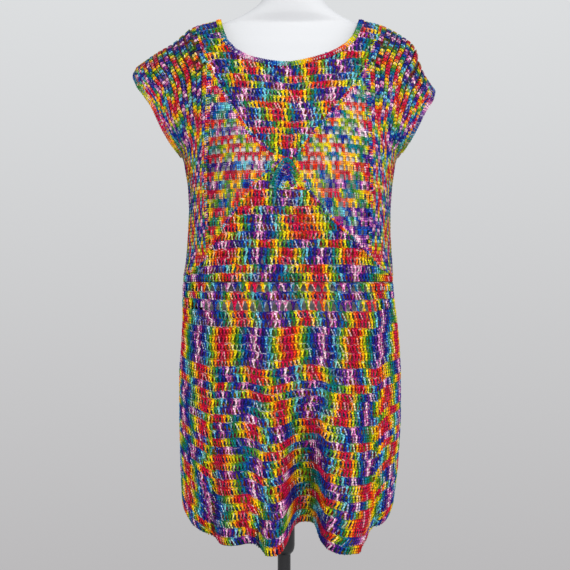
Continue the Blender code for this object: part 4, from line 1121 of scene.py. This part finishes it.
def panel_loops():
    """The bodice's panels as (u, v) loops by name, the side panels' inner edges by side, and the seams."""
    seams, edges = {}, {}
    for side, label in SIDES:
        seams[f"yoke_{label}"] = yoke = seam([*YOKE_SEAM[side], NET_TOP[side]])
        end = (side * YOKE_TOP_X / SLEEVE_TIP[side][0], 1.0)
        seams[f"strap_{label}"] = straight(yoke[-1], end, STRAP_STEPS)
        seams[f"midriff_{label}"] = seam([*MIDRIFF_SEAM[side], NET_FOOT[side]])
        edges[side] = side_run(side, MIDRIFF_SIDE_Z, ABOVE_ALL)
        seams[f"tail_{label}"] = seam(MIDRIFF_TAIL[side]) + [edges[side][0]]
        seams[f"rib_{label}"] = seam(RIB_LINE[side])
    loops = {}
    loops["yoke_front"] = joined(
        seams["yoke_right"], seams["strap_right"], shoulder_run(YOKE_TOP_X, NECK_HALF),
        neckline_run(FRONT)[::-1], shoulder_run(-NECK_HALF, -YOKE_TOP_X),
        seams["strap_left"][::-1], seams["yoke_left"][::-1], [seams["yoke_right"][0]],
    )
    waist = [(u, 0.0) for u in np.linspace(-1, 1, WAIST_POINTS)]
    loops["midriff_front"] = joined(
        seams["midriff_left"], seams["tail_left"], [waist[0]], waist, [seams["tail_right"][-1]],
        seams["tail_right"][::-1], seams["midriff_right"][::-1], [seams["midriff_left"][0]],
    )
    for side, label in SIDES:
        ribs, tail = seams[f"rib_{label}"], seams[f"tail_{label}"]
        loops[f"net_cup_{label}"] = joined(seams[f"midriff_{label}"], ribs, seams[f"yoke_{label}"][::-1])
        shoulder = shoulder_run(side * YOKE_TOP_X, side * SLEEVE_TIP[side][0])
        loops[f"side_panel_{label}"] = joined(
            ribs, seams[f"strap_{label}"], shoulder, edges[side][::-1], tail[::-1],
        )
    back_left, back_right = (side_run(side, WAIST_Z, MIDRIFF_SIDE_Z)[:-1] + edges[side] for side in (-1, 1))
    loops["bodice_back"] = joined(
        waist, back_right,
        shoulder_run(SLEEVE_TIP_RIGHT[0], YOKE_TOP_X), shoulder_run(YOKE_TOP_X, NECK_HALF),
        neckline_run(BACK)[::-1],
        shoulder_run(-NECK_HALF, -YOKE_TOP_X), shoulder_run(-YOKE_TOP_X, -SLEEVE_TIP_LEFT[0]),
        back_left[::-1],
    )
    inner = {side: seams[f"rib_{label}"] + seams[f"strap_{label}"][1:] for side, label in SIDES}
    return loops, inner, seams


def inner_turn(inner, v):
    """How far round from the middle a side panel starts at the levels v, as an angle."""
    heights = np.array([p[1] for p in inner])
    starts = np.arcsin(np.clip(np.abs([p[0] for p in inner]), 0, 1))
    order = np.argsort(heights)
    return np.interp(v, heights[order], starts[order])


def picked(line, index):
    """The points of a line at places between its samples."""
    return np.stack([np.interp(index, np.arange(len(line)), line[:, k]) for k in range(line.shape[1])], 1)


def side_stitches(surface, loop, side, inner, label):
    """The ribs of a side panel: rows worked up and down, from the net's edge round to the side."""
    yarn = Yarn(PLAIN_PLIES, 3)
    v = np.linspace(min(p[1] for p in loop), RIB_TOP, SIDE_SAMPLES)
    last = len(v) - 1
    first = inner_turn(inner, v)
    for row in range(SIDE_ROWS):
        lines = []
        for share in (row, row + 0.5, row + 1, row + 0.5 - RIB_COLUMN, row + 0.5 + RIB_COLUMN):
            turn = first + (math.pi / 2 - first) * min(share / SIDE_ROWS, 1)
            lines.append(np.stack([side * np.sin(turn), v], 1))
        places = [surface(line) for line in lines]
        shares, length = even_stations(places[1], STITCH)
        at = shares * last
        mids = between(at)
        slant = (ROW_SLANT if row % 2 else -ROW_SLANT) / length * last
        middle = picked(lines[1], mids)
        up = normals(surface, middle, BODICE_CORNERS, FRONT)
        foot = picked(places[0], np.clip(mids - slant / 2, 0, last))
        head = picked(places[2], np.clip(mids + slant / 2, 0, last))
        reach = head - foot
        foot, head = foot + reach * RIB_INSET, head - reach * RIB_INSET
        run = mids / last * length
        place = run / REPEAT * (1 if row % 2 else -1) + SIDE_SHIFTS[row % len(SIDE_SHIFTS)] + stray(run, row)
        some = in_loop(middle, loop)
        for hole in open_spots(side, inner):
            some &= ~in_loop(middle, hole)
        tint = noise(some.sum(), 900 + row + 40 * side)
        stitch_row(yarn, foot[some], head[some], up[some], place[some], tint, size=RIB_SIZE, cross=RIB_CROSS,
                   bow=RIB_BOW, light=RIB_LIGHT)
        for column in range(2):
            line = picked(places[3 + column], at)
            for part in unbroken(np.where(some)[0]):
                if len(part):
                    chain_row(yarn, line[part[0]:part[-1] + 2], up[part], place[part] + RIB_DRIFT * column,
                              noise(len(part), 1300 + 2 * row + column), high=RIB_CHAIN_HIGH,
                              deep=RIB_CHAIN_DEEP, rise=RIB_CHAIN_RISE)
    return yarn.make(f"side_stitches_{label}")


def net_place(x, row, side):
    """How far along the dyed yarn a strand of the net is, from the row's dye at its outer and inner edges."""
    dyes = NET_DYES[side]
    outer, inner = dyes[min(max(row - NET_DYE_ROW, 0), len(dyes) - 1)]
    share = np.clip((NET_DYE_OUTER - x * side) / (NET_DYE_OUTER - NET_DYE_INNER), 0, 1)
    place = outer + (inner - outer) * share + NET_STRAY * np.sin(row * 2.3 + x * 115)
    return place + NET_STRAY_FINE * np.sin(row + x * 230)


def net_strands(surface, loop, side, label):
    """The open squares of a cup: upright bars between the holes and a chain above and below each row."""
    yarn = Yarn()
    line = RIB_LINE[side]
    heights = np.arange(NET_FOOT[-1][1] + NET_ROW * NET_FIRST_ROW, NET_TOP[-1][1], NET_ROW)
    tall = NET_HOLE_HIGH / 2
    for row, z in enumerate([heights[0] - NET_ROW, *heights, heights[-1] + NET_ROW]):
        start = float(np.interp(z, [p[1] for p in line], [p[0] for p in line]))
        xs = np.linspace(start + side * NET_START, -side * NET_END, NET_SAMPLES)
        along = lengths_along(surface(bodice_places(xs, z)))
        offset = along[np.argmin(np.abs(xs - start))]
        bars, fills, centre = [offset], [], offset + NET_MARGIN + NET_PITCH / 2
        while centre < along[-1]:
            marks = []
            for da, dz in ((-1, -1), (1, -1), (1, 1), (-1, 1)):
                x = float(np.interp(centre + da * NET_HOLE_WIDE / 2, along, xs))
                marks.append(bodice_place(x, z + dz * tall))
            bars.append(centre + NET_PITCH / 2)
            if len(clear_of_edge(marks, loop, NET_MARGIN)) < len(marks):
                fills += [centre - NET_EDGE_FILL_BEFORE, centre + NET_EDGE_FILL_AFTER]
            centre += NET_PITCH
        bars = np.array(bars)
        close = noise(len(bars), 2300 + row + side) < NET_CLOSED * (z < NET_CLOSE_BELOW)
        fills += list(bars[close] + NET_PITCH * NET_FILL_EARLY)
        if z > NET_OPEN_TO[side]:
            fills += list(bars + NET_PITCH * NET_FILL_EARLY) + list(bars + NET_PITCH * NET_FILL_LATE)
        else:
            fills += [bars[0] + BAR_APART * 3]
        spots = np.concatenate([bars - BAR_APART, bars + BAR_APART, fills])
        x = np.interp(spots, along, xs)
        foot = surface(bodice_places(x, z - tall - BAR_OVERLAP))
        head = surface(bodice_places(x, z + tall + BAR_OVERLAP))
        middle = bodice_places(x, z)
        keep = in_loop(middle, loop)
        up = normals(surface, middle, BODICE_CORNERS, FRONT)
        place = net_place(surface(middle)[:, 0], row, side)
        stitch_row(yarn, foot[keep], head[keep], up[keep], place[keep], noise(keep.sum(), 2000 + row),
                   size=BAR_SIZE, cross=BAR_CROSS, bow=BAR_BOW)
        beads = np.interp(np.arange(0, along[-1], BAND_STITCH), along, xs)
        for offset_z in (-BAND_APART, BAND_APART):
            uv = bodice_places(beads, z + NET_ROW / 2 + offset_z)
            at = surface(uv)
            up = normals(surface, between(uv), BODICE_CORNERS, FRONT)
            for part in unbroken(np.where(in_loop(between(uv), loop))[0]):
                if len(part) > 1:
                    place = net_place(at[part, 0], row, side)
                    chain_row(yarn, at[part[0]:part[-1] + 2], up[part], place, noise(len(part), 2600 + row),
                              high=BAND_HIGH)
    return yarn.make(f"net_strands_{label}")


def knot_rows(yarn, surface):
    """The short rows that arch round the point where the cups, the yoke and the midriff meet."""
    for index, (half, tall, left_dye, top_dye, right_dye) in enumerate(KNOT_ARCHES):
        turn = np.linspace(math.pi, 0, KNOT_POINTS)
        x = KNOT_X + half * np.cos(turn)
        z = KNOT_Z + tall * (1 - np.abs(np.cos(turn)) ** KNOT_ARCH)
        dye = np.interp(turn, (0, math.pi / 2, math.pi), (right_dye, top_dye, left_dye))
        edge_row(yarn, surface, FRONT, bodice_places(x, z), dye, KNOT_ROW, 6050 + index, rise=KNOT_RISE,
                 repeat=0, chains=(KNOT_CHAIN,))


def edge_row(yarn, surface, face, uv, place, wide, seed, reach=0.0, rise=EDGE_RISE, repeat=EDGE_REPEAT,
             chains=()):
    """A row of close short stitches along a line of the cloth, with chains at the given shares of its width.

    place is the row's first place along the dyed yarn, or with a repeat of 0 the place at each of its points.
    """
    uv = np.array(uv)
    shares, length = even_stations(surface(uv), EDGE_STITCH)
    steps = shares * (len(uv) - 1)
    line_uv = picked(uv, steps)
    line = surface(line_uv)
    up = normals(surface, line_uv, BODICE_CORNERS, face)
    along = unit(np.gradient(line, axis=0))
    cross = unit(np.cross(up, along))
    run = np.linspace(0, length, len(line))
    places = picked(place[:, None], steps)[:, 0] if repeat == 0 else place + run / repeat
    tint = noise(len(line), seed)
    foot = line + cross * (reach - wide / 2)
    head = foot + cross * wide + along * EDGE_LEAN
    stitch_row(yarn, foot + up * rise, head + up * rise, up, places, tint, size=EDGE_SIZE, bow=EDGE_BOW)
    for side in chains:
        path = line + cross * (reach + side * wide) + up * (rise + CHAIN_RISE)
        chain_row(yarn, path, up[:-1], places[:-1], tint[:-1], high=EDGE_CHAIN_HIGH, deep=EDGE_CHAIN_DEEP)


def shell(name, surface, face, outline, corners, inner, holes=(), scale=FLAT_MAP):
    """A thin closed skin on the middle surface, behind the stitches, open at its holes."""
    flat_holes = [laid_flat(hole, scale) for hole in holes]
    faces = triangulate(laid_flat(outline, scale), flat_holes, laid_flat(inner, scale))
    every = np.array(list(outline) + [p for hole in holes for p in hole] + list(inner))
    at = surface(every)
    up = normals(surface, every, corners, face)
    total = len(every)
    points = np.vstack([at + up * SHELL / 2, at - up * SHELL / 2]) + (DRESS_X, 0, 0)
    mesh_faces = [list(f) for f in faces] + [[i + total for i in reversed(f)] for f in faces]
    first = 0
    for loop in (outline, *holes):
        for k in range(len(loop)):
            a, b = first + k, first + (k + 1) % len(loop)
            mesh_faces.append([a, b, b + total, a + total])
        first += len(loop)
    mesh = bpy.data.meshes.new(name)
    mesh.from_pydata([tuple(p) for p in points], [], mesh_faces)
    work = bmesh.new()
    work.from_mesh(mesh)
    bmesh.ops.recalc_face_normals(work, faces=work.faces)
    work.to_mesh(mesh)
    work.free()
    x, z = at[:, 0], at[:, 2]
    shift = np.floor((z - 0.5) / SKIN_ROW) * SKIN_ROW_SHIFT
    if "skirt" in name:
        around = round_the_hip(x) / REPEAT
        place = np.where((z > POOL_LOW) & (z < POOL_HIGH), around + POOL_SHIFT, around + shift)
    else:
        place = x / REPEAT + shift
    # The skin is painted almost black: painted shade for the gaps between the stitches
    set_values(mesh, place=np.tile(place, 2), tint=np.tile(noise(total, 5), 2),
               glow=np.full(2 * total, SKIN_PAINTED_SHADE))
    mesh.shade_smooth()
    mesh.materials.append(material("crochet_yarn"))
    return linked(name, mesh)


def smooth_sections(rows, count):
    """The form's sections with more between them, half way between straight lines and smooth curves."""
    rows = np.array(rows, float)
    padded = np.vstack([rows[:1], rows, rows[-1:]])
    found = []
    for value in np.linspace(0, len(rows) - 1, count):
        i = min(int(value), len(rows) - 2)
        q = value - i
        straight_on = rows[i] * (1 - q) + rows[i + 1] * q
        found.append(straight_on * 0.5 + curve_point(*padded[i:i + 4], q) * 0.5)
    return found


def tube_faces(rings, upward):
    """Quads between rings of points and a face at each end, for rings that run upward or downward."""
    faces = []
    for i in range(rings - 1):
        for k in range(ROUND_SIDES):
            a, b = i * ROUND_SIDES + k, i * ROUND_SIDES + (k + 1) % ROUND_SIDES
            above, beside = a + ROUND_SIDES, b + ROUND_SIDES
            faces.append([a, b, beside, above] if upward else [a, above, beside, b])
    first, last = list(range(ROUND_SIDES)), list(range((rings - 1) * ROUND_SIDES, rings * ROUND_SIDES))
    return faces + ([first[::-1], last] if upward else [first, last[::-1]])


def smooth_form():
    """The dress form with finer sections."""
    points = []
    sections = smooth_sections(FORM_SECTIONS, FORM_SECTION_COUNT)
    for z, half, front, back, power in sections:
        lean = NECK_SHIFT * min(max((z - NECK_SHIFT_FROM) / NECK_SHIFT_RISE, 0), 1)
        for k in range(ROUND_SIDES):
            turn = 2 * math.pi * k / ROUND_SIDES
            c, s = math.cos(turn), math.sin(turn)
            x = half * math.copysign(abs(c) ** (2 / power), c)
            depth = back if s > 0 else front
            if s < 0:
                tall = BUST_SPREAD_UP * FORM_BUST_UP if z > BUST_Z else BUST_SPREAD_DOWN * FORM_BUST_DOWN
                beside = (abs(x) - BUST_X) / (BUST_SPREAD_X * FORM_BUST_ACROSS)
                depth += FORM_BUST_RISE * math.exp(-(beside**2 + ((z - BUST_Z) / tall) ** 2))
            y = depth * math.copysign(abs(s) ** (2 / power), s)
            points.append((x + lean + DRESS_X, y, z))
    return plain_object("form_smooth", points, tube_faces(len(sections), True), "form_cover")


def plain_object(name, points, faces, finish):
    """A smooth object of one finish, with its sharp edges kept."""
    mesh = bpy.data.meshes.new(name)
    mesh.from_pydata([tuple(p) for p in points], [], faces)
    mesh.shade_smooth()
    mesh.set_sharp_from_angle(angle=SHARP_FROM)
    mesh.materials.append(material(finish))
    return linked(name, mesh)


def turned(name, profile, finish):
    """A round piece from a profile of radius and height that runs downward."""
    points = []
    for radius, z in profile:
        for k in range(ROUND_SIDES):
            turn = 2 * math.pi * k / ROUND_SIDES
            points.append((radius * math.cos(turn), radius * math.sin(turn), z))
    return plain_object(name, points, tube_faces(len(profile), False), finish)


def linear(colour):
    """A display colour as the renderer's linear one."""
    return tuple(c / 12.92 if c <= 0.04045 else ((c + 0.055) / 1.055) ** 2.4 for c in colour)


def new_node(tree, kind, sockets=(), **settings):
    """A shader node with its settings and the numbers on its sockets."""
    made = tree.nodes.new("ShaderNode" + kind)
    for name, value in settings.items():
        setattr(made, name, value)
    set_sockets(made, sockets)
    return made


def set_sockets(node, sockets):
    """Puts the numbers on the node's sockets."""
    for socket, value in sockets:
        node.inputs[socket].default_value = value


def material(name):
    """The finish of that name, made when it is first asked for."""
    found = bpy.data.materials.get("look_" + name)
    if found:
        return found
    made = bpy.data.materials.new("look_" + name)
    made.use_nodes = True
    shader = made.node_tree.nodes["Principled BSDF"]
    if name in PLAIN_FINISHES:
        colour, roughness = PLAIN_FINISHES[name]
        set_sockets(shader, (("Base Color", (*colour, 1)), ("Roughness", roughness)))
    else:
        yarn_look(made.node_tree, shader)
    return made


def yarn_look(tree, shader):
    """The dyed yarn: colour by its place along the dye, paler strands here and there that are partly painted
    highlights, specks, and painted light and shade.
    """
    ramp = new_node(tree, "ValToRGB")
    stops = ramp.color_ramp.elements
    while len(stops) > 1:
        stops.remove(stops[-1])
    stops[0].position = DYES[0][0]
    stops[0].color = (*linear(DYES[0][1:]), 1)
    for position, *colour in DYES[1:]:
        stops.new(position).color = (*linear(colour), 1)
    place = new_node(tree, "Attribute", attribute_name="place")
    part = new_node(tree, "Math", operation="FRACT")
    tint = new_node(tree, "Attribute", attribute_name="tint")
    # Paler strands chosen at random: pale flecks in the yarn, partly painted highlights
    curve = new_node(tree, "MapRange", (("From Min", PALE_FROM), ("From Max", 1.0), ("To Max", PALE_MOST)))
    pale = new_node(tree, "Mix", ((7, PALE_COLOUR),), data_type="RGBA")
    speck = new_node(tree, "TexNoise", (("Scale", SPECK_SCALE), ("Detail", SPECK_DETAIL)))
    level = new_node(tree, "MapRange",
                     (("From Min", 0.3), ("From Max", 0.7), ("To Min", SPECK_DARK), ("To Max", SPECK_LIGHT)))
    # Painted light and shade: each point's value, taken to a range and multiplied into the yarn's colour
    glow = new_node(tree, "Attribute", attribute_name="glow")
    deep = new_node(tree, "MapRange", (("To Min", PAINTED_LIGHT_LOW), ("To Max", PAINTED_LIGHT_HIGH)))
    both = new_node(tree, "Math", operation="MULTIPLY")
    shade = new_node(tree, "Mix", ((0, 1),), data_type="RGBA", blend_type="MULTIPLY")
    bump = new_node(tree, "Bump", (("Strength", BUMP_STRENGTH), ("Distance", BUMP_DISTANCE)))
    set_sockets(shader, (("Roughness", YARN_ROUGHNESS), ("Specular IOR Level", YARN_SHEEN)))
    for start, output, end, socket in (
        (place, "Fac", part, 0), (part, 0, ramp, 0),
        (tint, "Fac", curve, "Value"), (curve, 0, pale, 0), (ramp, 0, pale, 6),
        (speck, 0, level, "Value"), (glow, "Fac", deep, "Value"), (level, 0, both, 0), (deep, 0, both, 1),
        (pale, 2, shade, 6), (both, 0, shade, 7), (shade, 2, shader, "Base Color"),
        (speck, 0, bump, "Height"), (bump, 0, shader, "Normal"),
    ):
        tree.links.new(start.outputs[output], end.inputs[socket])


def open_spots(side, inner):
    """The small round holes near the shoulder seam, in the rows of a side panel."""
    spots = []
    for rib, level in OPEN_SPOTS:
        spot = []
        for turn in np.linspace(0, 2 * math.pi, HOLE_POINTS + 1)[:-1]:
            v = level + OPEN_HIGH / FLAT_MAP[1] / 2 * math.sin(turn)
            first = float(inner_turn(inner, v))
            share = rib + 0.5 + OPEN_WIDE / 2 * math.cos(turn)
            spot.append((side * math.sin(first + (math.pi / 2 - first) * share / SIDE_ROWS), v))
        spots.append(spot)
    return spots


def creased(surface, creases):
    """The surface with its creases. Each is a soft trough along a line seen from the front, or a ridge."""

    def moved(uv):
        at = surface(uv)
        x, z = at[:, 0], at[:, 2]
        inward = np.zeros(len(at))
        for x_from, z_from, x_to, z_to, half, depth in creases:
            along_x, along_z = x_to - x_from, z_to - z_from
            length = math.hypot(along_x, along_z)
            share = np.clip(((x - x_from) * along_x + (z - z_from) * along_z) / length**2, 0, 1)
            away = np.hypot(x - x_from - share * along_x, z - z_from - share * along_z)
            # A crease is deepest in its middle and almost gone at its ends
            fade = np.sin(math.pi * np.clip(share * CREASE_SPAN + CREASE_START, 0, 1))
            inward += depth * np.exp(-(away / half) ** 2) * fade
        out = unit(at * CREASE_OUT)
        return at - out * inward[:, None]

    return moved


def make_dress():
    """Every piece of the cloth, by the node that it stands for."""
    front, back = creased(bodice(FRONT), FRONT_CREASES), creased(bodice(BACK), BACK_CREASES)
    loops, inner, seams = panel_loops()
    made = {}

    for name, surface, face in (("yoke_front", front, FRONT), ("midriff_front", front, FRONT),
                                ("side_panel_left", front, FRONT), ("side_panel_right", front, FRONT),
                                ("bodice_back", back, BACK)):
        points, holes = plain_grid(loops[name], GRID_STEP), []
        if name.startswith("side_panel"):
            side = -1 if name == "side_panel_left" else 1
            holes = open_spots(side, inner[side])
            for hole in holes:
                points = [p for p, hit in zip(points, in_loop(points, hole)) if not hit]
        loop = finer(loops[name], GRID_STEP)
        made[name] = [shell(f"{name}_skin", surface, face, loop, BODICE_CORNERS, points, holes)]

    for name, surface, face, shifts, seed in (("yoke_front", front, FRONT, YOKE_SHIFTS, 3000),
                                              ("midriff_front", front, FRONT, MIDRIFF_SHIFTS, 4000),
                                              ("bodice_back", back, BACK, ROW_SHIFTS, 5000)):
        yarn = Yarn(PLIES if face == FRONT else PLAIN_PLIES, 3 if face == FRONT else 2)
        levels = arc_levels(surface, LEVEL_COLUMN, 0.0, 1.0, BODICE_ROWS)
        bodice_rows(yarn, surface, face, loops[name], levels, shifts, seed)
        made[name].append(yarn.make(f"{name}_stitches"))
    for side, label in SIDES:
        panel = f"side_panel_{label}"
        made[panel].append(side_stitches(front, loops[panel], side, inner[side], label))
        made[f"net_cup_{label}"] = [net_strands(front, loops[f"net_cup_{label}"], side, label)]

    yarn = Yarn()
    for name, place, seed in SEAM_ROWS:
        edge_row(yarn, front, FRONT, seams[name], place, SEAM_WIDE, 6000 + seed, repeat=REPEAT)
    for name, inward, seed in (("rib_left", -1, 9), ("rib_right", 1, 10)):
        edge_row(yarn, front, FRONT, seams[name], 0.1 * seed, RIB_EDGE_WIDE, 6000 + seed,
                 reach=inward * RIB_EDGE_REACH, rise=0.0, repeat=REPEAT)
    knot_rows(yarn, front)
    made["seam_rows"] = [yarn.make("seam_rows")]

    yarn = Yarn()
    for face, surface, inward in ((FRONT, front, 1), (BACK, back, -1)):
        run = open_run(neckline_run(face), EDGE_POINT_STEP)
        edge_row(yarn, surface, face, run, NECK_DYE, NECK_WIDE, 6100, reach=NECK_REACH * inward,
                 rise=NECK_RISE, chains=(NECK_CHAIN * inward,))
    made["neck_edge"] = [yarn.make("neck_edge_row", "edge_yarn")]

    for side, label in SIDES:
        yarn = Yarn()
        run = open_run(side_run(side, UNDERARM_Z + CUFF_LIFT, ABOVE_ALL), EDGE_POINT_STEP)
        for surface, face, inward in ((front, FRONT, side), (back, BACK, -side)):
            edge_row(yarn, surface, face, run, 0.2 * side, CUFF_WIDE, 6200 + side, reach=-inward * CUFF_REACH,
                     rise=CUFF_RISE, chains=(-0.5, 0.5))
        made[f"cuff_edge_{label}"] = [yarn.make(f"cuff_edge_row_{label}", "edge_yarn")]

    for face, label in FACES:
        surface = skirt_cloth(face)
        s = np.linspace(0, 1, SKIRT_COLUMNS)
        made[f"skirt_{label}"] = skins = []
        for name, low, high, steps in ((f"skirt_{label}", 0.0, SKIRT_ROWS_TOP, SKIRT_SKIN_ROWS),
                                       (f"skirt_{label}_upper", EYELET_2_TOP, BAND_FOOT, 2)):
            w = np.linspace(low, high, steps + 1)
            outline = joined([(a, low) for a in s], [(1.0, b) for b in w],
                             [(a, high) for a in s[::-1]], [(0.0, b) for b in w[::-1]])
            points = [(a, b) for a in s[1:-1] for b in w[1:-1]]
            skins.append(shell(f"{name}_skin", surface, face, outline, SKIRT_CORNERS, points,
                               scale=SKIRT_MAP))
        skins.append(skirt_stitches(face, label))
        yarn = Yarn()
        add_ring_row(yarn, surface, face, BAND_FOOT, EYELET_1_TOP, True, BAND_ROW)
        made[f"eyelet_band_{label}"] = [yarn.make(f"eyelet_row_{label}")]
    return made


def cut_area(piece):
    """Half the skin's surface, which is the cloth that it was cut from."""
    return sum(p.area for p in piece.data.polygons) / 2


def make_stand():
    """The stand's pieces, rounder than the solids."""
    r, top, low = COLLAR_RADIUS, COLLAR_TOP_Z, COLLAR_BOTTOM_Z
    parts = {
        "stand_pole_upper": [(POLE_RADIUS, FORM_SECTIONS[0][0]), (POLE_RADIUS, top)],
        "stand_collar": [(r * 0.70, top), (r * 0.84, top - 0.0015), (r * 0.94, top - 0.005), (r, top - 0.012),
                         (r, low + 0.014), (r * 0.95, low + 0.008), (r * 0.86, low + 0.004), (r * 0.66, low)],
        "stand_pole_lower": [(POLE_RADIUS, low), (POLE_RADIUS, BASE_HEIGHT + SOCKET_HEIGHT)],
        "stand_base": [
            (SOCKET_RADIUS * 0.80, BASE_HEIGHT + SOCKET_HEIGHT),
            (SOCKET_RADIUS * 0.95, BASE_HEIGHT + SOCKET_HEIGHT - 0.001),
            (SOCKET_RADIUS, BASE_HEIGHT + SOCKET_HEIGHT - 0.003),
            (SOCKET_RADIUS * 1.1, BASE_HEIGHT + 0.006), (SOCKET_RADIUS * 1.25, BASE_HEIGHT + 0.002),
            (SOCKET_RADIUS * 1.6, BASE_HEIGHT), (BASE_RADIUS - 0.006, BASE_HEIGHT - 0.003),
            (BASE_RADIUS - 0.002, BASE_HEIGHT - 0.0045), (BASE_RADIUS, BASE_HEIGHT - 0.007),
            (BASE_RADIUS, 0.0)],
    }
    for node, profile in parts.items():
        piece = turned(f"{node}_round", profile, "stand_black")
        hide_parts(node)
        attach(piece, "root")


def make_stage():
    """Floor, light, air and camera."""
    bpy.ops.mesh.primitive_circle_add(vertices=ROUND_SIDES, radius=FLOOR_RADIUS, fill_type="NGON",
                                      location=(0, 0, -FLOOR_DROP))
    floor = bpy.context.object
    floor.name = "floor"
    floor.data.materials.append(material("floor"))

    world = bpy.data.worlds.new("studio")
    bpy.context.scene.world = world
    world.use_nodes = True
    tree = world.node_tree
    background = tree.nodes["Background"]
    where = new_node(tree, "TexCoord")
    split = new_node(tree, "SeparateXYZ")
    height = new_node(tree, "MapRange", (("From Min", -AIR_SPREAD), ("From Max", AIR_SPREAD)))
    ramp = new_node(tree, "ValToRGB")
    for stop, colour in zip(ramp.color_ramp.elements, (AIR_LOW, AIR_HIGH)):
        stop.color = (*linear(colour), 1)
    tree.links.new(where.outputs["Generated"], split.inputs[0])
    tree.links.new(split.outputs["Z"], height.inputs["Value"])
    tree.links.new(height.outputs[0], ramp.inputs[0])
    tree.links.new(ramp.outputs[0], background.inputs["Color"])
    background.inputs["Strength"].default_value = 1.0

    for name, place, aim, size, power, colour in LIGHTS:
        lamp = bpy.data.lights.new(name, "AREA")
        lamp.size = size
        lamp.energy = power
        lamp.color = colour
        holder = linked(name, lamp)
        holder.location = place
        holder.rotation_euler = (Vector(aim) - Vector(place)).to_track_quat("-Z", "Y").to_euler()

    lens = bpy.data.cameras.new("camera")
    lens.sensor_width = 36
    lens.lens = CAMERA_LENS
    camera = linked("camera", lens)
    camera.location = CAMERA_AT
    camera.rotation_euler = (math.pi / 2, 0, 0)
    scene = bpy.context.scene
    scene.camera = camera
    scene.view_settings.view_transform = "Standard"


def main():
    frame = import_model()
    made = make_dress()
    form = smooth_form()
    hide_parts("form_torso")
    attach(form, "root")
    make_stand()
    for node, pieces in made.items():
        for piece in pieces:
            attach(piece, "root")
            "edge_yarn" if "edge" in piece.name else "crochet_yarn"
        if node in frame["nodes"]:
            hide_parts(node)
    for node, pieces in made.items():
        skins = [p for p in pieces if p.name.endswith("_skin")]
        for index, skin in enumerate(skins):
            area = cut_area(skin)
    make_stage()


main()
